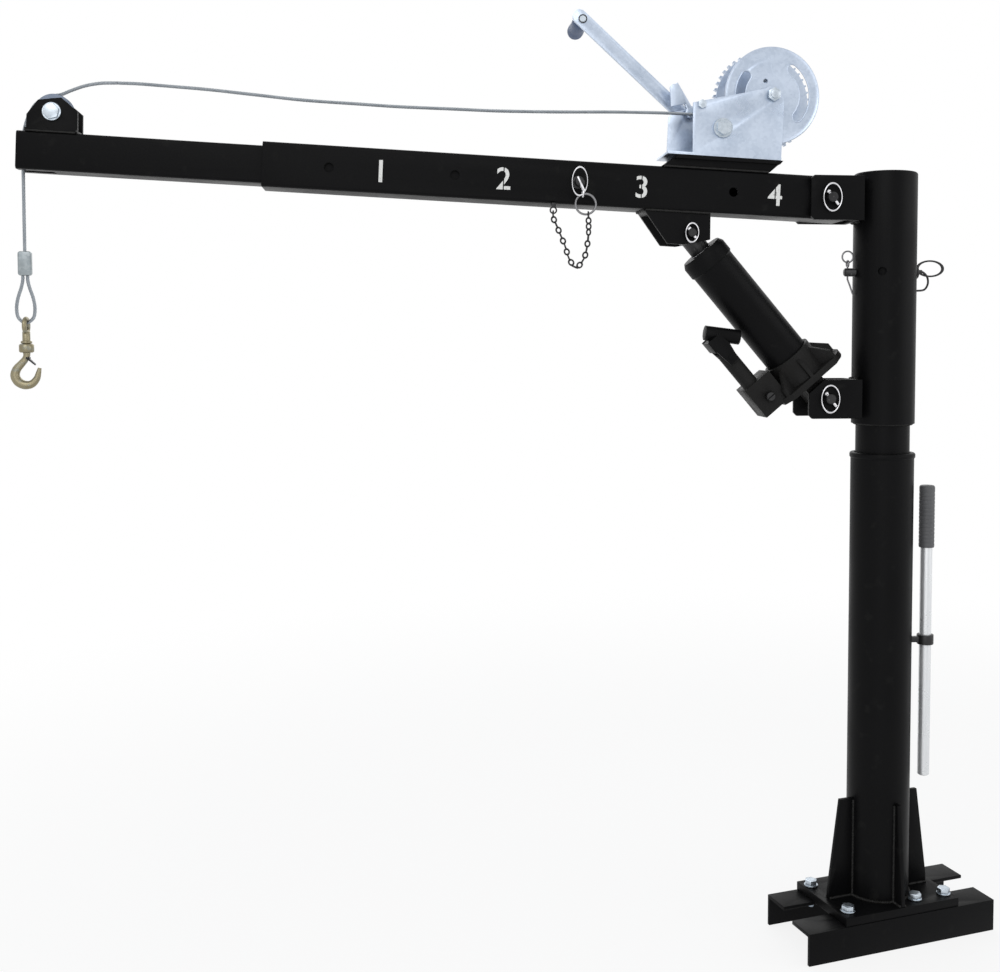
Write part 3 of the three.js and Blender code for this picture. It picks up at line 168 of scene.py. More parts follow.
class Look(Graph):  # a material round its Principled shader
    def __init__(self, name, **fixed):
        self.material = bpy.data.materials.new(name)
        self.material.use_nodes = True
        super().__init__(self.material.node_tree)
        self.shader = self.tree.nodes["Principled BSDF"]
        for socket, value in fixed.items():
            self.shader.inputs[socket.replace("_", " ")].default_value = value
        self.place = self.wire(self.add("TexCoord"), "Object")

    def noise(self, scale, detail, stretch=(1, 1, 1)):
        placed = self.add("Mapping", {"Vector": self.place, "Scale": stretch})
        made = self.add("TexNoise", {"Vector": self.wire(placed), "Scale": scale, "Detail": detail})
        return self.wire(made, "Fac")

    def cells(self, scale):  # a random value for each crystal
        made = self.add("TexVoronoi", {"Vector": self.place, "Scale": scale})
        split = self.add("SeparateColor", {0: self.wire(made, "Color")})
        return self.wire(split)

    def ease(self, cloud, low, high):
        return self.step(cloud, 0.3, 0.7, (low, high))

    def blend(self, share, a, b):  # colours are (r, g, b) or wires
        a, b = (tone if isinstance(tone, Wire) else (*tone, 1.0) for tone in (a, b))
        made = self.add("Mix", {0: share, 6: a, 7: b}, {"data_type": "RGBA"})
        return self.wire(made, 2)

    def bump(self, height, strength, depth):
        made = self.add("Bump", {"Height": height, "Strength": strength, "Distance": depth})
        self.feed(self.shader.inputs["Normal"], self.wire(made, "Normal"))

    def paint(self, colour, rough):
        self.feed(self.shader.inputs["Base Color"], colour)
        self.feed(self.shader.inputs["Roughness"], rough)
        return self.material


def satinBlack():
    look = Look("satinBlack", Specular_IOR_Level=0.065)
    cloud, peel = look.noise(9, 4), look.noise(700, 2)
    dust = look.step(look.noise(46, 6), 0.60, 0.74)
    base = look.blend(cloud, (0.0030, 0.0030, 0.0033), (0.0056, 0.0056, 0.0060))
    colour = look.blend(dust * 0.5, base, (0.012, 0.012, 0.0115))
    look.bump(peel + cloud * 0.6, strength=0.22, depth=0.0006)
    return look.paint(colour, look.ease(cloud, 0.34, 0.47) + dust * 0.08)


def weldBlack():
    look = Look("weldBlack", Specular_IOR_Level=0.24)
    grain, ripple = look.noise(420, 4), look.noise(150, 3)
    colour = look.blend(ripple, (0.004, 0.004, 0.004), (0.012, 0.0115, 0.011))
    look.bump(grain + ripple * 1.4, strength=0.55, depth=0.0011)
    return look.paint(colour, look.ease(grain, 0.38, 0.6))


def castBlack():
    look = Look("castBlack", Specular_IOR_Level=0.16)
    sand, cloud = look.noise(900, 4), look.noise(34, 5)
    colour = look.blend(cloud, (0.0035, 0.0035, 0.0038), (0.010, 0.0096, 0.009))
    look.bump(sand + cloud * 0.7, strength=0.5, depth=0.0009)
    return look.paint(colour, look.ease(cloud, 0.45, 0.66))


def platedZinc(name, low, high, rough):
    look = Look(name, Metallic=0.88)
    cloud, fine = look.noise(26, 5), look.noise(380, 3)
    spangle = look.cells(260)
    share = look.step(cloud * 0.8 + spangle * 0.2, 0.18, 0.76)
    stain = look.step(look.noise(15, 7), 0.60, 0.74)
    colour = look.blend(stain * 0.22, look.blend(share, low, high), (0.40, 0.46, 0.55))
    look.bump(fine + spangle * 0.3, strength=0.1, depth=0.0004)
    return look.paint(colour, look.step(cloud, 0.25, 0.75, rough) + stain * 0.1)


def brightWire(name, low, high, rough):
    look = Look(name, Metallic=1.0)
    cloud, drawn = look.noise(60, 3), look.noise(500, 3)
    look.bump(drawn, strength=0.08, depth=0.0003)
    return look.paint(look.blend(cloud, low, high), look.ease(cloud, *rough))


def yellowZinc():
    look = Look("yellowZinc", Metallic=0.92)
    cloud, patch, grain = look.noise(55, 4), look.noise(120, 3), look.noise(700, 3)
    warm = look.blend(cloud, (0.19, 0.16, 0.095), (0.35, 0.32, 0.22))
    colour = look.blend(look.step(patch, 0.52, 0.68) * 0.5, warm, (0.25, 0.27, 0.25))
    look.bump(grain + cloud * 0.5, strength=0.18, depth=0.0005)
    return look.paint(colour, look.ease(cloud, 0.26, 0.42))


def drawnBar():
    look = Look("drawnBar", Metallic=0.55)
    drawn, cloud = look.noise(420, 3, (1, 1, 0.03)), look.noise(30, 4)
    colour = look.blend(drawn, (0.66, 0.68, 0.70), (0.86, 0.87, 0.88))
    look.bump(drawn, strength=0.02, depth=0.0002)
    return look.paint(colour, look.ease(cloud, 0.22, 0.36) + drawn * 0.06)


def gripVinyl(name, low, high):
    look = Look(name, Specular_IOR_Level=0.35)
    grain, cloud = look.noise(1100, 3), look.noise(28, 4)
    look.bump(grain + cloud * 0.5, strength=0.3, depth=0.0005)
    return look.paint(look.blend(cloud, low, high), look.ease(cloud, 0.42, 0.60))


def wireSteel():
    look = Look("wireSteel", Metallic=0.8)
    cloud, fine = look.noise(90, 4), look.noise(1500, 2)
    colour = look.blend(cloud, (0.20, 0.225, 0.25), (0.42, 0.45, 0.48))
    look.bump(fine, strength=0.3, depth=0.0003)
    return look.paint(colour, look.ease(cloud, 0.34, 0.5))


def blackOxide():
    look = Look("blackOxide", Metallic=0.7)
    cloud, fine = look.noise(80, 4), look.noise(900, 3)
    worn = look.step(look.noise(150, 5), 0.62, 0.74)
    dark = look.blend(cloud, (0.018, 0.018, 0.019), (0.045, 0.045, 0.046))
    look.bump(fine, strength=0.2, depth=0.0003)
    return look.paint(look.blend(worn * 0.6, dark, (0.16, 0.16, 0.16)), look.ease(cloud, 0.32, 0.5))


def stencilWhite():
    look = Look("stencilWhite", Specular_IOR_Level=0.25)
    speck, cloud = look.noise(650, 4), look.noise(70, 4)
    thin = look.step(speck * 0.6 + cloud * 0.4, 0.56, 0.66)
    colour = look.blend(1 - thin * 0.55, (0.16, 0.16, 0.16), (0.78, 0.78, 0.76))
    look.bump(speck, strength=0.15, depth=0.0003)
    return look.paint(colour, look.ease(cloud, 0.5, 0.66))


looks = {
    "paint": satinBlack(), "weld": weldBlack(), "cast": castBlack(), "yellow": yellowZinc(),
    "bar": drawnBar(), "rope": wireSteel(), "oxide": blackOxide(), "stencil": stencilWhite(),
    "zinc": platedZinc("brightZinc", (0.42, 0.49, 0.60), (0.55, 0.62, 0.73), (0.26, 0.42)),
    "bolt": platedZinc("boltZinc", (0.40, 0.46, 0.52), (0.60, 0.66, 0.72), (0.22, 0.36)),
    "wheel": platedZinc("wheelZinc", (0.11, 0.14, 0.19), (0.18, 0.21, 0.27), (0.30, 0.45)),
    "crimp": platedZinc("crimpAlloy", (0.21, 0.24, 0.255), (0.35, 0.385, 0.40), (0.35, 0.50)),
    "nickel": brightWire("brightNickel", (0.58, 0.58, 0.60), (0.74, 0.74, 0.76), (0.16, 0.28)),
    "wire": brightWire("springWire", (0.15, 0.15, 0.155), (0.27, 0.27, 0.28), (0.22, 0.34)),
    "grip": gripVinyl("gripVinyl", (0.075, 0.076, 0.080), (0.130, 0.131, 0.136)),
    "crankGrip": gripVinyl("crankVinyl", (0.045, 0.075, 0.15), (0.085, 0.13, 0.24)),
}
print("looks ready,", len(looks))


def seenRays(graph):  # 1 where the camera, a mirror or glass shows it
    path = graph.add("LightPath")
    direct, mirrored, through = (graph.wire(path, f"Is {kind} Ray")
                                 for kind in ("Camera", "Glossy", "Transmission"))
    return graph.step(direct + mirrored + through, 0.0, 1.0)


def setStage():
    stage = {"radius": 40, "z": -0.0453, "rimSteps": 96, "colour": (0.92, 0.92, 0.92, 1),
             "rough": 0.9, "glow": 0.84, "fadeFrom": 0.9, "fadeTo": 2.6, "worldLight": 0.55,
             "worldTint": (0.96, 0.98, 1, 1), "white": (1, 1, 1, 1)}
    bm = bmesh.new()
    ops.create_circle(bm, cap_ends=True, radius=stage["radius"], segments=stage["rimSteps"])
    ops.translate(bm, verts=bm.verts, vec=(0, 0, stage["z"]))
    mesh = bpy.data.meshes.new("paleFloor")
    bm.to_mesh(mesh)
    bm.free()
    linked("paleFloor", mesh)
    look = Look("paleFloor", Roughness=stage["rough"], Specular_IOR_Level=0.0)
    look.feed(look.shader.inputs["Base Color"], stage["colour"])
    glow = look.add("Emission", {"Color": stage["white"], "Strength": 1.0})
    away = look.add("VectorMath", {0: look.place}, {"operation": "LENGTH"})
    share = look.step(look.wire(away, "Value"), stage["fadeFrom"], stage["fadeTo"],
                      (stage["glow"], 1.0))
    mixed = look.add("MixShader", {0: seenRays(look) * share, 1: look.wire(look.shader),
                                   2: look.wire(glow)})
    look.feed(look.tree.nodes["Material Output"].inputs["Surface"], look.wire(mixed))
    mesh.materials.append(look.material)
    world = bpy.data.worlds.new("studio")
    bpy.context.scene.world = world
    world.use_nodes = True
    world.node_tree.nodes.clear()
    sky = Graph(world.node_tree)
    lit = sky.add("Background", {"Color": stage["worldTint"], "Strength": stage["worldLight"]})
    shown = sky.add("Background", {"Color": stage["white"], "Strength": 1.0})
    mixed = sky.add("MixShader", {0: seenRays(sky), 1: sky.wire(lit), 2: sky.wire(shown)})
    sky.add("OutputWorld", {"Surface": sky.wire(mixed)})


setStage()
print("stage set")


def markEdges(bm, angle):  # smooth shading over flatter edges
    limit = math.radians(angle)
    for edge in bm.edges:
        edge.smooth = len(edge.link_faces) == 2 and edge.calc_face_angle(0) < limit


def settle(bm, name, look, body, node=None, place=asMade, angle=36, recalc=True):
    bm.transform(place)
    if recalc:
        ops.recalc_face_normals(bm, faces=bm.faces)
    for face in bm.faces:
        face.smooth = True
    markEdges(bm, angle)
    mesh = bpy.data.meshes.new(name)
    bm.to_mesh(mesh)
    bm.free()
    mesh.materials.append(looks[look])
    piece = linked(name, mesh)
    if body:
        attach(piece, body)
    if node:
        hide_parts(node)
    return piece


def soften(bm, edges, width, segments=2):
    ops.bevel(bm, geom=list(edges), offset=width * mm, offset_type="OFFSET",
              segments=segments, profile=0.5, affect="EDGES", clamp_overlap=True, material=-1)


def sharpEdges(bm, angle):
    limit = math.radians(angle)
    return [e for e in bm.edges if len(e.link_faces) == 2 and e.calc_face_angle(0) > limit]


def span(edge, axis):  # how far an edge reaches along x, y or z
    start, stop = (getattr(v.co, axis) for v in edge.verts)
    return abs(stop - start)


def pull(bm, faces, x, y, z):  # extrudes faces by a step in mm
    grown = ops.extrude_face_region(bm, geom=faces)["geom"]
    moved = [g for g in grown if isinstance(g, bmesh.types.BMVert)]
    ops.translate(bm, verts=moved, vec=(x * mm, y * mm, z * mm))


def meshOf(holder):  # with its modifiers applied
    bpy.context.view_layer.update()
    graph = bpy.context.evaluated_depsgraph_get()
    return bpy.data.meshes.new_from_object(holder.evaluated_get(graph))


def pour(bm, curve):  # adds a curve's or text's mesh
    holder = linked("pattern", curve)
    made = meshOf(holder)
    bm.from_mesh(made)
    bpy.data.objects.remove(holder)
    bpy.data.curves.remove(curve)
    bpy.data.meshes.remove(made)


def bodyOf(node):
    for body, members in frame["record"]["behaviour"]["bodies"].items():
        if node in members:
            return body
    return None


def mergedCopy(node):  # a CAD node's triangles, joined up
    bm = bmesh.new()
    bm.from_mesh(nodes[node].data)
    ops.remove_doubles(bm, verts=bm.verts, dist=1e-6)
    ops.dissolve_limit(bm, angle_limit=math.radians(0.8), verts=bm.verts, edges=bm.edges)
    return bm


def dress(node, look, width, segments):  # a CAD node again, with softened edges
    bm = mergedCopy(node)
    soften(bm, sharpEdges(bm, 36), width, segments)
    settle(bm, node + "_soft", look, bodyOf(node), node, recalc=False)


def lathe(bm, profile, steps):  # profile of (radius, z) in mm about Z
    made = [bm.verts.new((r * mm, 0, z * mm)) for r, z in profile]
    rims = [bm.edges.new(pair) for pair in zip(made, made[1:])]
    ops.spin(bm, geom=made + rims, cent=(0, 0, 0), axis=(0, 0, 1), angle=2 * math.pi,
             steps=steps, use_merge=True)
    ops.remove_doubles(bm, verts=bm.verts, dist=1e-7)


def addTo(bm, part, place=asMade):
    part.transform(place)
    spare = bpy.data.meshes.new("spare")
    part.to_mesh(spare)
    part.free()
    bm.from_mesh(spare)
    bpy.data.meshes.remove(spare)


def hoop(bm, radius, wire, place, sides=12, steps=48, squash=(1, 1, 1)):  # wire ring about Z
    part = bmesh.new()
    rim = ops.create_circle(part, cap_ends=False, radius=wire * mm, segments=sides)["verts"]
    ops.rotate(part, verts=rim, matrix=facingY.to_3x3(), cent=(0, 0, 0))
    ops.translate(part, verts=rim, vec=(radius * mm, 0, 0))
    ops.spin(part, geom=part.verts[:] + part.edges[:], cent=(0, 0, 0), axis=(0, 0, 1),
             angle=2 * math.pi, steps=steps, use_merge=True)
    ops.remove_doubles(part, verts=part.verts, dist=1e-7)
    ops.scale(part, verts=part.verts, vec=squash)
    ops.recalc_face_normals(part, faces=part.faces)
    addTo(bm, part, place)


def bar(bm, radius, low, high, place, steps, edge):  # along Z, with eased rims
    part = bmesh.new()
    lathe(part, [(0, low), (radius - edge, low), (radius, low + edge), (radius, high - edge),
                 (radius - edge, high), (0, high)], steps)
    addTo(bm, part, place)


def block(bm, size, place, edge=0):
    part = bmesh.new()
    ops.create_cube(part, size=1)
    ops.scale(part, vec=[side * mm for side in size], verts=part.verts)
    if edge:
        soften(part, part.edges[:], edge)
    addTo(bm, part, place)


def hexHead(bm, flats, low, high, place, crown=0.9):  # hexagon along Z with a chamfered top
    part = bmesh.new()
    corner = flats / math.sqrt(3) * mm
    rim = ops.create_circle(part, cap_ends=True, radius=corner, segments=6)["verts"]
    ops.translate(part, verts=rim, vec=(0, 0, low * mm))
    pull(part, part.faces[:], 0, 0, high - low)
    soften(part, [e for e in part.edges if all(v.co.z > (high - 0.1) * mm for v in e.verts)], crown)
    soften(part, [e for e in part.edges if span(e, "z") > 0.3 * (high - low) * mm], 0.35)
    ops.recalc_face_normals(part, faces=part.faces)
    addTo(bm, part, place)


def carve(piece, cutter, angle=30):  # takes the cutter out of a piece
    ops.recalc_face_normals(cutter, faces=cutter.faces)
    tool = linked("cutter", bpy.data.meshes.new("cutter"))
    cutter.to_mesh(tool.data)
    cutter.free()
    bore = piece.modifiers.new("bores", "BOOLEAN")
    bore.operation, bore.solver, bore.object = "DIFFERENCE", "EXACT", tool
    done = meshOf(piece)
    piece.modifiers.clear()
    bm = bmesh.new()
    bm.from_mesh(done)
    markEdges(bm, angle)
    bm.to_mesh(piece.data)
    bm.free()
    bpy.data.objects.remove(tool)
    bpy.data.meshes.remove(done)


def smoothRoute(points, per=8):  # centripetal curve through the points
    pts = [Vector(p) for p in points]
    pts = [pts[0] * 2 - pts[1]] + pts + [pts[-1] * 2 - pts[-2]]
    out = []
    for a, b, c, d in zip(pts, pts[1:], pts[2:], pts[3:]):
        t1 = (b - a).length ** 0.5
        t2 = t1 + (c - b).length ** 0.5
        t3 = t2 + (d - c).length ** 0.5
        for i in range(per):
            t = t1 + (t2 - t1) * i / per
            a1, a2 = a.lerp(b, t / t1), b.lerp(c, (t - t1) / (t2 - t1))
            a3 = c.lerp(d, (t - t2) / (t3 - t2))
            b1, b2 = a1.lerp(a2, t / t2), a2.lerp(a3, (t - t1) / (t3 - t1))
            out.append(b1.lerp(b2, (t - t1) / (t2 - t1)))
    return out + [pts[-2]]


def bend(points, per=8):  # a smooth route through (x, z) points in mm
    return smoothRoute([Vector((x, 0, z)) * mm for x, z in points], per)


def evenly(route, gap):  # points a fixed distance apart along a route, and its length
    spans = [(b - a).length for a, b in zip(route, route[1:])]
    total = sum(spans)
    count = max(2, round(total / gap))
    out, walked, i = [route[0].copy()], 0.0, 0
    for k in range(1, count):
        target = total * k / count
        while walked + spans[i] < target:
            walked += spans[i]
            i += 1
        out.append(route[i].lerp(route[i + 1], (target - walked) / spans[i]))
    return out + [route[-1].copy()], total


def tubes(bm, lines, radius, sides=1, widths=None, cyclic=False):  # round wires along lines
    curve = bpy.data.curves.new("wires", "CURVE")
    curve.dimensions, curve.bevel_depth = "3D", radius * mm
    curve.bevel_resolution, curve.use_fill_caps, curve.twist_mode = sides, True, "MINIMUM"
    for line in lines:
        spline = curve.splines.new("POLY")
        spline.points.add(len(line) - 1)
        spline.use_cyclic_u = cyclic
        for i, point in enumerate(line):
            spline.points[i].co = (*point, 1)
            spline.points[i].radius = widths[i] if widths else 1.0
    pour(bm, curve)
    ops.remove_doubles(bm, verts=bm.verts, dist=1e-8)


# wire rope; run and over are (distance from the pivot, height) along the boom, eye is (side, z)
rope = {"radius": 2.25, "strands": 6, "lay": 24, "step": 2.4, "eyeStep": 1.6, "snug": 1.06,
        "dropTop": 1069.35, "ferruleTop": 935.3, "turnsFrom": 60}
ropeRun = [(90.6, 111.5), (104, 111.3), (150, 109.8), (191, 108.4), (233, 107.6), (303, 104.4),
           (387, 99), (470, 94.9), (536, 93.4), (601, 91.8), (666, 91.8), (730, 92), (794, 94.8),
           (857, 97.6), (919, 98.7), (950, 99), (974, 98.2)]
ropeOver = [(974.6, 98.2), (996, 96.4), (1016, 91.6), (1034, 84), (1046, 78.2), (1058, 75.4),
            (1069, 71), (1079, 62.5), (1086.5, 48), (1091.4, 30), (1093.2, 12), (1092.8, 4)]
ropeEye = [(3.1, 902.7), (3.1, 898), (5, 888), (10, 872), (11.7, 858), (9.2, 846.5), (0, 840.3)]


def ropePiece(name, node, body, route, step=rope["step"]):
    line, length = evenly(route, step * mm)
    ring, thin = rope["radius"] * 2 / 3, rope["radius"] / 3
    side = (line[1] - line[0]).normalized().orthogonal().normalized()
    strands = [[] for _ in range(rope["strands"])]
    walked = 0.0
    for i, point in enumerate(line):
        ahead = (line[min(i + 1, len(line) - 1)] - line[max(i - 1, 0)]).normalized()
        side = (side - ahead * side.dot(ahead)).normalized()
        up = ahead.cross(side)
        if i:
            walked += (point - line[i - 1]).length
        for k, strand in enumerate(strands):
            a = 2 * math.pi * (walked / (rope["lay"] * mm) + k / len(strands))
            strand.append(point + (side * math.cos(a) + up * math.sin(a)) * ring * mm)
    bm = bmesh.new()
    tubes(bm, strands + [line], thin * rope["snug"])
    piece = settle(bm, name, "rope", body, node, angle=70)
    return piece


def drumRoute():  # along the core, then round it in loops side by side
    wind = {"radius": 24, "pitch": 5.3, "loops": 4, "start": -28.6, "bend": -24.1,
            "settle": 0.11, "points": 420}
    s, up = crane["drumAxis"]
    radius, rise = wind["radius"], wind["pitch"] / (2 * math.pi)
    whole = wind["loops"] * 2 * math.pi
    straight = wind["bend"] - wind["start"]
    total = straight + whole * radius
    out = []
    for i in range(wind["points"]):
        along = total * i / (wind["points"] - 1)
        if along <= straight:
            a, y = whole, wind["start"] + along
        else:
            wound = (along - straight) / radius
            lead = max(0, 1 - wound / (whole * wind["settle"]))
            a = whole - wound
            y = (wound - whole) * rise + (wind["bend"] + whole * rise) * lead * lead
        out.append(boomPoint(s - radius * math.sin(a), y, up - radius * math.cos(a)))
    return out


ropePiece("rope_on_drum", "drum_cable", "drum", drumRoute())
run = smoothRoute([boomPoint(s, 0, up) for s, up in ropeRun])
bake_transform(ropePiece("rope_run", "cable_run", None, run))
over = smoothRoute([boomPoint(s, 0, up) for s, up in ropeOver])
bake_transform(ropePiece("rope_over", "cable_over", None, over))
hang = [headPoint(crane["dropX"], 0, z) for z in (rope["dropTop"], rope["ferruleTop"])]
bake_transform(ropePiece("rope_drop", "cable_drop", None, hang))
eye = [(-x, z) for x, z in ropeEye] + [(x, z) for x, z in ropeEye[-2::-1]]
eye = smoothRoute([headPoint(crane["dropX"] + x, 0, z) for x, z in eye])
ropePiece("rope_eye", "cable_eye", "hookblock", eye, rope["eyeStep"])
print("ropes laid")


def chainPiece():  # path and ends are boom points
    chain = {"wire": 1.2, "loop": 3.2, "pitch": 8.6, "lap": 1.9, "sides": 7, "steps": 14,
             "studEnd": (389, -36, -41), "pinEnd": (342, -36, -41)}
    path = [(341.9, -42, -40.3), (340.6, -42, -58), (340.5, -41.5, -78), (345, -41, -104),
            (355, -40, -116), (364, -39, -106), (371, -38, -88), (383, -36.6, -62),
            (388.6, -36, -50), (389, -36, -41.2)]
    route = smoothRoute([boomPoint(*p) for p in path])
    total = sum((b - a).length for a, b in zip(route, route[1:]))
    count = round(total / 2 / (chain["pitch"] * mm)) * 2 + 1
    line, _ = evenly(route, total / (2 * count))
    reach = (total / mm / count + chain["wire"] * chain["lap"]) / 2
    stretch = ((reach - chain["wire"]) / chain["loop"], 1, 1)
    bm = bmesh.new()
    for i in range(count):
        place, ahead = line[2 * i + 1], line[2 * i + 2] - line[2 * i]
        aim = ahead.to_track_quat("X", "Z").to_matrix().to_4x4()
        hoop(bm, chain["loop"], chain["wire"],
             Matrix.Translation(place) @ aim @ turn(90 * (i % 2), "X"),
             chain["sides"], chain["steps"], stretch)
    piece = settle(bm, "lock_chain_links", "oxide", None, "lock_chain", angle=70)
    boomPoint(*chain["studEnd"])
    boomPoint(*chain["pinEnd"])
    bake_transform(piece)


chainPiece()
print("chain linked")

# square tubes; heel, tip and bores are distances from the pivot, bores have (distance, radius)
outerTube = {"size": 60, "wall": 4, "heel": -24, "tip": 780, "corner": 5, "lip": 0.5,
             "bores": ((0, 7.3), (138, 6.5), (356, 6.5), (524, 6.5), (692, 6.5))}
innerTube = {"size": 50, "wall": 4, "heel": 306, "tip": 1095, "corner": 4.5, "lip": 0.5,
             "bores": ((356, 6.5),), "notch": (45, 18)}


def boxTube(name, node, body, tube):
    size, heel, tip = tube["size"], tube["heel"], tube["tip"]
    bm = bmesh.new()
    ops.create_cube(bm, size=1)
    ops.scale(bm, vec=((tip - heel) * mm, size * mm, size * mm), verts=bm.verts)
    ops.translate(bm, vec=(-(tip + heel) / 2 * mm, 0, 0), verts=bm.verts)
    soften(bm, [e for e in bm.edges if span(e, "x") > 0.1], tube["corner"], 5)
    ends = [f for f in bm.faces if abs(f.normal.x) > 0.9]
    ops.delete(bm, geom=ends, context="FACES_ONLY")
    ops.recalc_face_normals(bm, faces=bm.faces)
    ops.solidify(bm, geom=bm.faces[:], thickness=tube["wall"] * mm)
    soften(bm, [e for e in sharpEdges(bm, 69) if span(e, "x") < 1e-6], tube["lip"])
    piece = settle(bm, name, "paint", body, node, angle=30)
    cutter = bmesh.new()
    for s, radius in tube["bores"]:
        bar(cutter, radius, -size, size, shift(-s, 0, 0) @ alongY, 40, 0.01)
    if "notch" in tube:
        deep, wide = tube["notch"]
        block(cutter, (deep * 2, wide, size * 2), shift(-tip, 0, 0))
    carve(piece, cutter)
    piece.data.transform(boomFrame)


boxTube("boom_outer", "boom_tube", "boom", outerTube)
boxTube("boom_inner", "boom_extension", "extension", innerTube)


def chainStudPiece():
    stud = {"ring": (4.2, 1.1), "place": (-389, -36, -40.1), "block": (6, 12, 6),
            "blockPlace": (-389, -33, -33), "edge": 0.8}
    bm = bmesh.new()
    hoop(bm, *stud["ring"], shift(*stud["place"]) @ facingY, 10, 28)
    block(bm, stud["block"], shift(*stud["blockPlace"]), stud["edge"])
    settle(bm, "chain_stud", "oxide", "boom", None, boomFrame)


chainStudPiece()
print("square tubes cut")


def turned(name, node, look, body, profile, place=asMade, steps=96):
    bm = bmesh.new()
    lathe(bm, profile, steps)
    return settle(bm, name, look, body, node, place)


# round tubes of the mast, as profiles of (radius, z)
lowerMast = [(39.5, 12.3), (44.5, 12.3), (44.5, 648), (45.2, 648.6), (46, 650), (46, 653.6),
             (45.4, 655.2), (44.2, 656), (39.9, 656), (39.5, 655.6), (39.5, 12.3)]
neckSleeve = [(33, 350), (38, 350), (38, 960), (33, 960), (33, 350)]
headTop = 1055
headSleeve = [(39.5, 698.5), (39.9, 698), (44.1, 698), (44.5, 698.5), (44.5, headTop - 3),
              (43.9, headTop - 1.4), (42.6, headTop - 0.3), (41, headTop), (0, headTop),
              (0, 1050), (39.5, 1050), (39.5, 698.5)]
sightHole = {"bar": (6, 38.6, 50), "angle": 244}

turned("lower_mast", "lower_post", "paint", "base", lowerMast)
turned("neck_sleeve", "neck_tube", "paint", "head", neckSleeve, headFrame)
headPiece = turned("head_sleeve", "head_tube", "paint", "head", headSleeve, headFrame)
holeCutter = bmesh.new()
holePlace = headFrame @ shift(0, 0, crane["mastPinUp"]) @ turn(sightHole["angle"], "Z") @ alongX
bar(holeCutter, *sightHole["bar"], holePlace, 32, 0.01)
carve(headPiece, holeCutter)
print("mast turned")

weldSize = {"ripple": 2.3, "swell": 0.16, "step": 0.55, "drift": 0.07, "driftPace": 0.231,
            "driftShift": 2.1}


def beadWidth(i, n):  # how thick weld n is at its step i
    ripple = math.sin(2 * math.pi * i * weldSize["step"] / weldSize["ripple"] + n)
    drift = math.sin(i * weldSize["driftPace"] + n * weldSize["driftShift"])
    return 1 + weldSize["swell"] * ripple + weldSize["drift"] * drift


def beads(name, body, lines, radius, place):
    bm = bmesh.new()
    for n, line in enumerate(lines):
        route, _ = evenly([Vector(p) * mm for p in line], weldSize["step"] * mm)
        tubes(bm, [route], radius, 2, [beadWidth(i, n) for i in range(len(route))])
    settle(bm, name, "weld", body, None, place, 50)


def arc(radius, z, start, stop, steps=48):
    return [(*polar(radius, start + (stop - start) * i / steps), z) for i in range(steps + 1)]


def mastWelds():
    gusset = {"feet": ((0, 84), (90, 63), (180, 84), (270, 63)), "side": 3.6, "post": 44.6,
              "rise": (2, 141), "toe": 46, "out": 0.8, "bead": 2.1}
    foot = {"radius": 45.2, "out": 0.8, "arc": (4, 86), "bead": 2.4}
    neck = {"radius": 39.4, "z": 698.2, "bead": 2.3, "steps": 120}
    bracket = {"heights": ((985, 1047), (707, 762)), "post": -43.6, "side": 13.5, "inset": 1,
               "rim": ((-44.4, -13, 0.6), (-45.2, 0, 0.2), (-44.4, 13, 0.6)), "bead": 2.6}
    top = crane["plateTop"]
    lines = []
    for angle, reach in gusset["feet"]:
        c, s = polar(1, angle)
        for side in (-gusset["side"], gusset["side"]):
            def spot(r, up):
                return (r * c - side * s, r * s + side * c, top + up)
            lines.append([spot(gusset["post"], up) for up in gusset["rise"]])
            lines.append([spot(r, gusset["out"]) for r in (gusset["toe"], reach - 1)])
    beads("gusset_welds", "base", lines, gusset["bead"], asMade)
    start, stop = foot["arc"]
    lines = [arc(foot["radius"], top + foot["out"], start + 90 * i, stop + 90 * i)
             for i in range(4)]
    beads("post_foot_weld", "base", lines, foot["bead"], asMade)
    lines = [arc(neck["radius"], neck["z"], 0, 360, neck["steps"])]
    beads("neck_weld", "head", lines, neck["bead"], headFrame)
    lines = []
    for low, high in bracket["heights"]:
        for side in (-bracket["side"], bracket["side"]):
            lines.append([(bracket["post"], side, low + bracket["inset"]),
                          (bracket["post"], side, high - bracket["inset"])])
        lines.append([(x, y, high - inset) for x, y, inset in bracket["rim"]])
        lines.append([(x, y, low + inset) for x, y, inset in bracket["rim"]])
    beads("bracket_welds", "head", lines, bracket["bead"], headFrame)


def boomWelds():  # two beads along each plate, and one across its end
    welds = {
        "winch_mount_welds": {"body": "boom", "ends": (-90, -238), "side": 30.1, "up": 30.6,
                              "bead": 1.6},
        "lug_welds": {"body": "boom", "ends": (-170, -260), "side": 26.4, "up": -30.4,
                      "bead": 1.9, "across": (-262, 24, -30.6)},
        "sheave_bracket_welds": {"body": "extension", "ends": (-1021, -1084), "side": 24.4,
                                 "up": 25.6, "bead": 1.3, "across": (-1020, 22, 25.6)},
    }
    for name, weld in welds.items():
        lines = [[(x, side * weld["side"], weld["up"]) for x in weld["ends"]] for side in (-1, 1)]
        if "across" in weld:
            x, half, up = weld["across"]
            lines.append([(x, -half, up), (x, half, up)])
        beads(name, weld["body"], lines, weld["bead"], boomFrame)


mastWelds()
boomWelds()
print("welds run")


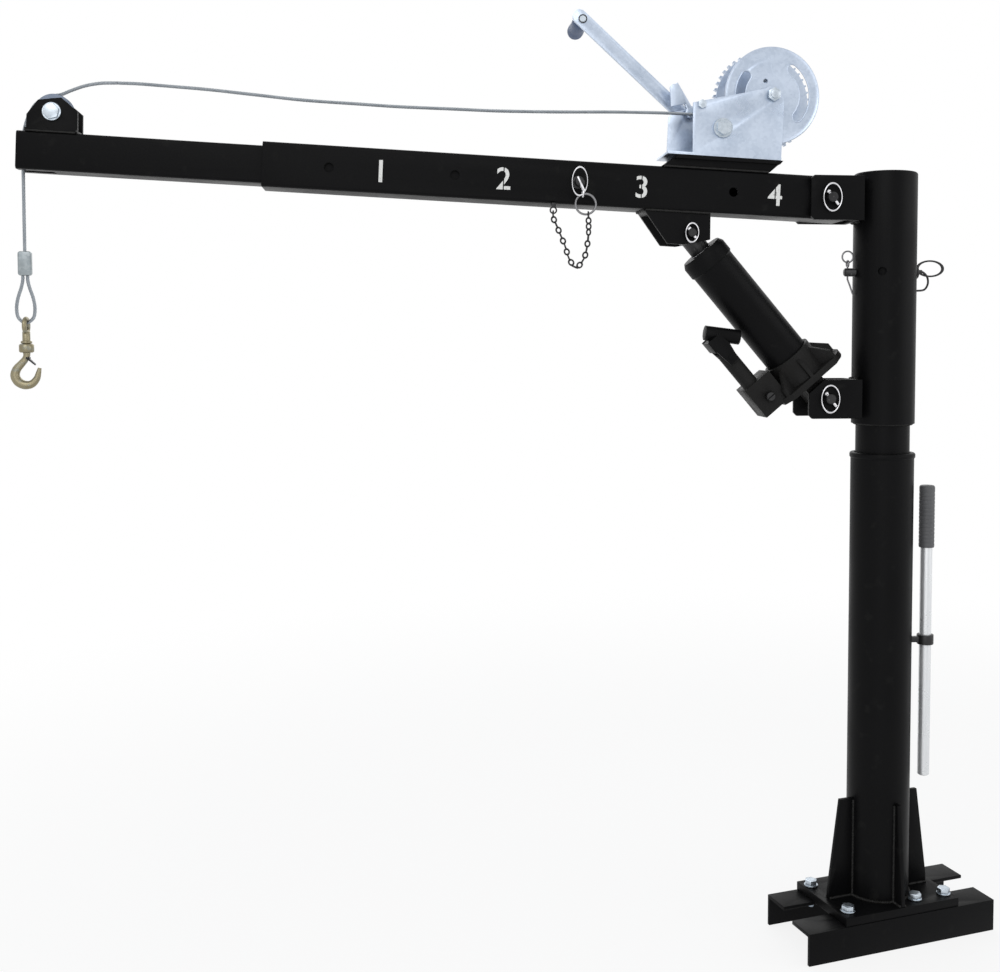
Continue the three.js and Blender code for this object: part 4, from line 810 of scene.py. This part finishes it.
def baseBolts():  # hexagon bolts with a cut thread below the nut
    bolt = {"radius": 5, "flats": 16, "head": 7, "nut": 8, "tail": 5, "washer": 10,
            "washerThick": 2, "under": -5.6, "face": 5.6, "end": 4.1, "root": 4.2, "pitch": 1.5,
            "firstTurn": 17, "nextTurn": 23}
    spots = {"front_1": (-80, -45), "front_2": (33, -45), "front_3": (83, -45),
             "rear_1": (-83, 45), "rear_2": (-33, 45), "rear_3": (80, 45)}
    top, under, root = crane["plateTop"], bolt["under"], bolt["root"]
    low = top + bolt["washerThick"]
    high = low + bolt["head"]
    for i, (spot, (x, y)) in enumerate(spots.items()):
        spun = turn(bolt["firstTurn"] + bolt["nextTurn"] * i, "Z")
        bm = bmesh.new()
        bar(bm, bolt["washer"], top, low, spun, 48, 0.5)
        hexHead(bm, bolt["flats"], low, high, spun)
        bar(bm, bolt["face"], high - 0.3, high + 0.25, spun, 32, 0.2)
        hexHead(bm, bolt["flats"], under - bolt["nut"], under, spun, 0.5)
        z = under - bolt["nut"] - bolt["tail"]
        thread = [(0, z), (bolt["end"], z)]
        while z < under - bolt["nut"]:
            thread += [(root, z + 0.2), (bolt["radius"], z + 0.75), (root, z + 1.3)]
            z += bolt["pitch"]
        thread += [(bolt["radius"], z), (bolt["radius"], top), (0, top)]
        part = bmesh.new()
        lathe(part, thread, 32)
        addTo(bm, part)
        node = "base_bolt_" + spot
        settle(bm, node + "_dressed", "bolt", "base", node, shift(x, y, 0))


baseBolts()
print("base bolts set")

# pins with lynch clips; carrier is half the width of what the pin goes through
lynch = {"tail": 9.3, "sunk": 0.5, "headGap": 0.3, "clipOut": 5, "wire": 1.5, "squash": 0.68,
         "tilt": 52, "stroke": 2.1, "foot": 2.3, "top": 0.72, "eye": 3.1, "eyeTop": 1.6}
largePin = {"radius": 7, "head": 11, "headThick": 5, "carrier": 37, "ring": 19}
smallPin = {"radius": 6, "head": 9, "headThick": 4, "carrier": 26, "ring": 13}


def lynchPin(name, node, body, place, pin):
    carrier, ring = pin["carrier"], pin["ring"]
    under = carrier + lynch["headGap"]
    bm = bmesh.new()
    bar(bm, pin["radius"], -carrier - lynch["tail"], carrier + lynch["sunk"], alongY, 40, 1.2)
    bar(bm, pin["head"], under, under + pin["headThick"], alongY, 48, 0.8)
    settle(bm, name, "oxide", body, node, place)
    face = shift(0, -carrier - lynch["clipOut"], 0)
    tilt = face @ turn(lynch["tilt"], "Y") @ alongX
    bm = bmesh.new()
    hoop(bm, ring, lynch["wire"], face @ facingY, 12, 64, (lynch["squash"], 1, 1))
    bar(bm, lynch["stroke"], -ring / 2 - lynch["foot"], ring * lynch["top"], tilt, 20, 0.7)
    bar(bm, lynch["eye"], -ring / 2 - lynch["foot"], -ring / 2 + lynch["eyeTop"], tilt, 24, 1)
    settle(bm, name + "_clip", "nickel", body, None, place)


lynchPin("boom_pin", "boom_pivot_pin", "head", boomPivot, largePin)
lynchPin("jack_pin", "jack_lower_pin", "head", jackPivot, largePin)
lynchPin("lug_pin", "jack_upper_pin", "boom", boomFrame @ shift(*crane["lugPin"]), smallPin)


def mastPin():  # bars are (radius, from, to), rings (radius, wire), wires (x, z) points
    pin = {"shank": (6, -60, 50), "collar": (9, 44.8, 48.8), "stub": (3, 44.8, 56),
           "stubUp": 915.2, "ring": (19, 2.2), "ringHigh": 11, "ringPlace": (68, 0, 920),
           "bow": ((49, 916), (57, 915), (64, 908), (65, 898), (60, 890), (47.5, 888)),
           "bowWire": 1.5}
    clip = {"x": -55, "wire": 1.2, "stem": (1.2, 903, 930), "ring": (8, 1.2), "ringUp": 936,
            "eye": (4.5, 1.2), "eyeUp": 926.25, "leg": ((-55, 904), (-51, 894), (-47, 883))}
    axis = shift(0, 0, crane["mastPinUp"]) @ alongX
    bm = bmesh.new()
    bar(bm, *pin["shank"], axis, 36, 1.5)
    bar(bm, *pin["collar"], axis, 40, 0.8)
    bar(bm, *pin["stub"], shift(0, 0, pin["stubUp"]) @ alongX, 20, 0.6)
    hoop(bm, *pin["ring"], shift(*pin["ringPlace"]) @ facingY, 12, 60,
         (1, pin["ringHigh"] / pin["ring"][0], 1))
    tubes(bm, [bend(pin["bow"])], pin["bowWire"], 3)
    settle(bm, "mast_pin", "oxide", "head", "head_pin", headFrame, 50)
    bm = bmesh.new()
    bar(bm, *clip["stem"], shift(clip["x"], 0, 0), 14, 0.3)
    tubes(bm, [bend(clip["leg"])], clip["wire"], 3)
    hoop(bm, *clip["ring"], shift(clip["x"], 0, clip["ringUp"]) @ facingY, 10, 36)
    hoop(bm, *clip["eye"], shift(clip["x"], 0, clip["eyeUp"]) @ alongX, 10, 28)
    settle(bm, "mast_pin_clip", "wire", "head", "head_pin_clip", headFrame, 50)


mastPin()


def lockPinPiece():
    x = crane["lockPinX"]
    pin = {"shank": (6, -47, -25.6), "collar": (9, -33, -30.3)}
    link = {"wire": 2.2, "ends": ((x, -42, 0), (-350.5, -42, -10.9)), "eye": (4.5, 1.5),
            "eyePlace": (-350.5, -42, -15.4)}
    clip = {"out": -45.5, "ring": (19, 1.3), "squash": 0.55, "tilt": 63, "stroke": (1.9, -7, 15.4)}
    ring = {"size": (14, 1.5), "place": (-346, -42, -29.9)}
    bm = bmesh.new()
    bar(bm, *pin["shank"], shift(x, 0, 0) @ alongY, 36, 1)
    bar(bm, *pin["collar"], shift(x, 0, 0) @ alongY, 40, 0.5)
    settle(bm, "lock_pin", "oxide", "lockpin", "boom_lock_pin", boomFrame, 50)
    face = shift(x, clip["out"], 0)
    bm = bmesh.new()
    tubes(bm, [[Vector(end) * mm for end in link["ends"]]], link["wire"], 3)
    hoop(bm, *link["eye"], shift(*link["eyePlace"]) @ alongX, 10, 28)
    hoop(bm, *clip["ring"], face @ facingY, 12, 64, (clip["squash"], 1, 1))
    bar(bm, *clip["stroke"], face @ turn(clip["tilt"], "Y") @ alongX, 20, 0.6)
    settle(bm, "lock_pin_clip", "nickel", "lockpin", None, boomFrame, 50)
    bm = bmesh.new()
    hoop(bm, *ring["size"], shift(*ring["place"]) @ facingY, 10, 44)
    settle(bm, "lock_ring", "wire", "lockpin", "lock_pin_ring", boomFrame, 60)


lockPinPiece()
print("pins placed")


def cutBridge(bm, half):  # the gap of a stencil, down the middle of its numeral
    across = [v.co.x for v in bm.verts]
    middle = (min(across) + max(across)) / 2
    for edge in (-half, half):
        ops.bisect_plane(bm, geom=bm.verts[:] + bm.edges[:] + bm.faces[:],
                         plane_co=(middle + edge, 0, 0), plane_no=(1, 0, 0))
    gone = [f for f in bm.faces if abs(f.calc_center_median().x - middle) < half]
    ops.delete(bm, geom=gone, context="FACES")


def stencils():  # position numbers on the near face
    mark = {"size": 42, "fatter": 0.4, "thick": 0.12, "out": 30.12, "up": -15, "bridge": 1.5,
            "centres": (623.5, 458, 267.5, 78.5)}
    for i, s in enumerate(mark["centres"]):
        text = bpy.data.curves.new("mark", "FONT")
        text.body, text.size, text.align_x = str(i + 1), mark["size"] * mm, "CENTER"
        text.offset = mark["fatter"] * mm
        bm = bmesh.new()
        pour(bm, text)
        if i:  # a 1 needs no bridge
            cutBridge(bm, mark["bridge"] * mm / 2)
        pull(bm, bm.faces[:], 0, 0, mark["thick"])
        upright = shift(-s, -mark["out"], mark["up"]) @ facingY
        settle(bm, f"position_mark_{i + 1}", "stencil", "boom", None, boomFrame @ upright)


stencils()
print("position marks painted")


def hookPiece():  # path and girth run from the shank to the point
    hook = {"thick": 5, "per": 6, "collar": (9.5, 801, 812.6)}
    path = [(0, 803), (0, 797), (-2, 792), (-7, 786), (-13.2, 778.5), (-15.3, 770.5),
            (-11.4, 762.4), (-3, 757.9), (5.8, 759.2), (12.2, 766), (14.8, 774), (16.4, 780.5)]
    girth = [1.0, 0.86, 0.88, 0.98, 1.12, 1.2, 1.24, 1.18, 1.05, 0.88, 0.68, 0.46]
    eyeBolt = {"ring": (9, 3), "up": 836.85, "shank": (5, 806.5, 829), "nut": (7.2, 812.9, 816.5)}
    place = headFrame @ shift(crane["dropX"], 0, 0)
    per = hook["per"]
    route = bend(path, per)
    widths = []
    for i in range(len(route)):
        k, part = divmod(i, per)
        widths.append(girth[k] + (girth[min(k + 1, len(girth) - 1)] - girth[k]) * part / per)
    bm = bmesh.new()
    tubes(bm, [route], hook["thick"], 5, widths)
    bar(bm, *hook["collar"], asMade, 40, 1.6)
    settle(bm, "hook_forged", "yellow", "hook", "hook", place, 50)
    bm = bmesh.new()
    hoop(bm, *eyeBolt["ring"], shift(0, 0, eyeBolt["up"]) @ alongX, 14)
    bar(bm, *eyeBolt["shank"], asMade, 28, 0.6)
    bar(bm, *eyeBolt["nut"], asMade, 32, 0.9)
    settle(bm, "hook_eye_forged", "yellow", "hookblock", "hook_eye", place, 50)


hookPiece()
print("hook forged")


def slotOutline(centre, slot):  # (x, z) round a curved slot with rounded ends, in mm
    half, steps, endSteps = slot["half"], slot["steps"], slot["endSteps"]
    ring = []
    for side in (1, -1):
        for i in range(steps + 1):
            ring.append(polar(slot["radius"] + side * half,
                              centre + side * (i / steps - 0.5) * slot["sweep"]))
        last = centre + side * slot["sweep"] / 2
        x, z = polar(slot["radius"], last)
        for i in range(1, endSteps):
            out = polar(half, last + (0 if side > 0 else 180) + 180 * i / endSteps)
            ring.append((x + out[0], z + out[1]))
    return ring


def spoolPiece():
    slot = {"radius": 45.5, "half": 7.2, "sweep": 92, "centres": (9.5, 193.5), "steps": 24,
            "endSteps": 8, "from": -34, "deep": 7, "lip": 1, "lipY": -31.2}
    smallHole = {"bar": (3.2, -34, -24), "place": (-11, 0, 19.2)}
    profile = [(6.3, -31.9), (26, -31.9), (45.4, -31.9), (47, -31.7), (48.6, -31.2), (50, -31),
               (60.4, -31), (64.4, -31), (65.2, -31.5), (66.2, -31.7), (67, -31), (67, -29.6),
               (66.4, -29), (22.6, -29), (21.4, -28), (21.4, 18), (22.6, 19), (66.6, 19),
               (67, 19.4), (67, 20.6), (66.6, 21), (6.3, 21), (6.3, -31.9)]
    piece = turned("spool", "drum_spool", "zinc", "drum", profile, alongY @ turn(180, "Z"), 128)
    cutter, lips = bmesh.new(), bmesh.new()
    for centre in slot["centres"]:
        ring = slotOutline(centre, slot)
        part = bmesh.new()
        corners = [part.verts.new((x * mm, slot["from"] * mm, z * mm)) for x, z in ring]
        pull(part, [part.faces.new(corners)], 0, slot["deep"], 0)
        addTo(cutter, part)
        lipLine = [Vector((x, slot["lipY"], z)) * mm for x, z in ring]
        tubes(lips, [lipLine], slot["lip"], 2, None, True)
    bar(cutter, *smallHole["bar"], shift(*smallHole["place"]) @ alongY, 28, 0.01)
    carve(piece, cutter, 36)
    s, up = crane["drumAxis"]
    hub = boomFrame @ shift(-s, 0, up)
    piece.data.transform(hub)
    settle(lips, "spool_slot_lips", "zinc", "drum", None, hub, 60)


def pawlTab():
    tab = {"near": 21.2, "far": 24.4, "roundAbove": 140, "corner": 5, "edge": 0.4,
           "outline": ((224.4, 152.5), (210.9, 154.3), (198.6, 126.7), (220.8, 121.8))}
    bm = bmesh.new()
    corners = [bm.verts.new((-s * mm, tab["near"] * mm, up * mm)) for s, up in tab["outline"]]
    pull(bm, [bm.faces.new(corners)], 0, tab["far"] - tab["near"], 0)
    upper = [e for e in bm.edges if span(e, "y") > mm and e.verts[0].co.z > tab["roundAbove"] * mm]
    soften(bm, upper, tab["corner"], 5)
    soften(bm, sharpEdges(bm, 60), tab["edge"])
    settle(bm, "pawl_tab", "zinc", "pawl", None, boomFrame)


def crankRivet():
    rivet = {"rim": (5.7, 0.7), "rimUp": 44.5, "head": (5, 43.4, 45.4)}
    bm = bmesh.new()
    hoop(bm, *rivet["rim"], shift(0, 0, rivet["rimUp"]), 10, 40)
    settle(bm, "crank_rivet_rim", "oxide", "crank", None, gripFrame)
    bm = bmesh.new()
    bar(bm, *rivet["head"], asMade, 36, 0.8)
    settle(bm, "crank_rivet", "bolt", "crank", None, gripFrame)


spoolPiece()
pawlTab()
crankRivet()
print("winch fitted")


def tipBolt():  # face is the outside of the bracket, on both sides of the middle
    bolt = {"face": 16.3, "thick": 5, "shank": 6, "tail": 3, "washer": 12, "washerThick": 1.8,
            "flats": 19, "nut": 17, "nutShort": 0.4, "gap": 1.6, "twist": 12}
    face, top = bolt["face"], bolt["face"] + bolt["thick"]
    bm = bmesh.new()
    bar(bm, bolt["shank"], -face - bolt["tail"], top, asMade, 40, 0.8)
    bar(bm, bolt["washer"], -face - bolt["washerThick"], -face, asMade, 56, 0.5)
    hexHead(bm, bolt["flats"], face + bolt["gap"], top, turn(180, "X"), 1.2)
    hexHead(bm, bolt["nut"], face, top - bolt["nutShort"], asMade, 0.8)
    place = tipFrame @ turn(bolt["twist"], "Z")
    settle(bm, "tip_bolt", "bolt", "extension", "sheave_pin", place)


def ramPiece():
    ram = {"blackFrom": 272.4, "edge": 0.6,
           "rod": ((0, 53), (24.9, 53), (25.7, 53.8), (25.7, 69.2), (24.9, 70), (14.9, 70),
                   (14.9, 272.4), (14.5, 272.8), (0, 272.8))}
    turned("ram_rod", "jack_ram", "nickel", "ram", ram["rod"], jackFrame, 72)
    # the ram's top, from just above the barrel's rim, is black oxide over the eye and the rod
    # alike; the rod below is nickel
    bm = mergedCopy("jack_ram")
    cut = ops.bisect_plane(bm, geom=bm.verts[:] + bm.edges[:] + bm.faces[:],
                           plane_co=jackFrame @ Vector((0, 0, ram["blackFrom"] * mm)),
                           plane_no=jackFrame.to_3x3() @ Vector((0, 0, 1)),
                           clear_inner=True)["geom_cut"]
    openEdges = [g for g in cut if isinstance(g, bmesh.types.BMEdge)]
    ops.holes_fill(bm, edges=openEdges, sides=0)
    soften(bm, sharpEdges(bm, 40), ram["edge"])
    settle(bm, "ram_black_top", "oxide", "ram", recalc=False)


tipBolt()
ramPiece()

# look, width and steps of the softened edges of each CAD node that keeps its shape
plate = ("paint", 0.9, 3)
dressed = {
    "base_angle_front": plate, "base_angle_rear": plate, "base_plate": plate,
    **{"gusset_" + side: ("paint", 0.5, 2) for side in ("right", "rear", "left", "front")},
    "handle_clip": ("oxide", 0.6, 2), "boom_bracket": plate, "jack_bracket": plate,
    "boom_lug": ("paint", 0.7, 2), "winch_mount": ("paint", 0.6, 2),
    "winch_frame": ("zinc", 0.5, 2), "winch_tie_bar": ("bolt", 0.5, 2),
    "drum_axle": ("bolt", 0.7, 2), "drum_gear": ("zinc", 0.2, 1), "pinion_shaft": ("bolt", 0.3, 1),
    "pawl": ("zinc", 0.4, 2), "crank_arm": ("zinc", 0.6, 2), "sheave_bracket": ("paint", 0.5, 2),
    "cable_ferrule": ("crimp", 1.6, 3), "hook_latch": ("oxide", 0.3, 1),
    "jack_base": ("cast", 1.0, 2), "pump_socket": ("paint", 0.5, 2),
    "release_valve": ("oxide", 0.3, 1), "neck_bearing_ring": ("bar", 0.4, 1),
}
for node, (look, width, segments) in dressed.items():
    dress(node, look, width, segments)
print("nodes dressed,", len(dressed))

# the other turned pieces
crankHandle = [(4.3, 52.4), (8.6, 52.4), (9.6, 53.6), (10.8, 57), (11.6, 62), (12, 70), (11.4, 84),
               (11.2, 92), (11.6, 104), (12, 114), (11.8, 120), (10.8, 124.6), (9.4, 126.6),
               (4.3, 126.6), (4.3, 52.4)]
handleBar = [(0, 182), (7.6, 182), (8.5, 183), (8.5, 601), (0, 601)]
halfWheel = [(6.3, -7), (10, -7), (10.4, -6.2), (18.6, -6.2), (19.2, -7), (24.4, -7),
             (25, -6.4), (25, -5.5), (21.2, -2.8)]
tipWheel = halfWheel + [(20.1, 0)] + [(r, -z) for r, z in halfWheel[::-1]] + halfWheel[:1]
jackBarrel = [(0, 46.3), (32, 46.3), (32, 246), (32.6, 247.4), (34, 249), (34, 265.2),
              (33.4, 266.4), (30, 272), (15.3, 272), (15.3, 262), (26, 262), (26, 52), (0, 52)]


def handleGripProfile():
    grip = {"bore": 8.8, "groove": 10.6, "rib": 11, "foot": 517, "firstRib": 519, "pitch": 5.6,
            "ribs": 14, "end": ((11, 598), (11, 604.4), (10.2, 606.3), (8.8, 607), (0, 607),
                                (0, 601.3), (8.8, 601.3))}
    profile = [(grip["bore"], grip["foot"]), (grip["groove"], grip["foot"])]
    for k in range(grip["ribs"]):
        z = grip["firstRib"] + k * grip["pitch"]
        profile += [(grip["rib"], z), (grip["rib"], z + 3.6), (grip["groove"], z + 4.4),
                    (grip["groove"], z + 5)]
    return profile + [*grip["end"], (grip["bore"], grip["foot"])]


handlePlace = shift(*polar(*crane["handleSpot"]), 0)
turned("crank_handle", "crank_grip", "crankGrip", "grip", crankHandle, gripFrame, 48)
turned("handle_bar", "jack_handle_bar", "bar", "handle", handleBar, handlePlace, 48)
turned("handle_grip", "jack_handle_grip", "grip", "handle", handleGripProfile(), handlePlace, 48)
turned("tip_wheel", "sheave", "wheel", "sheave", tipWheel, tipFrame, 64)
turned("jack_barrel", "jack_cylinder", "paint", "jack", jackBarrel, jackFrame)
print("handles, wheel and barrel turned")
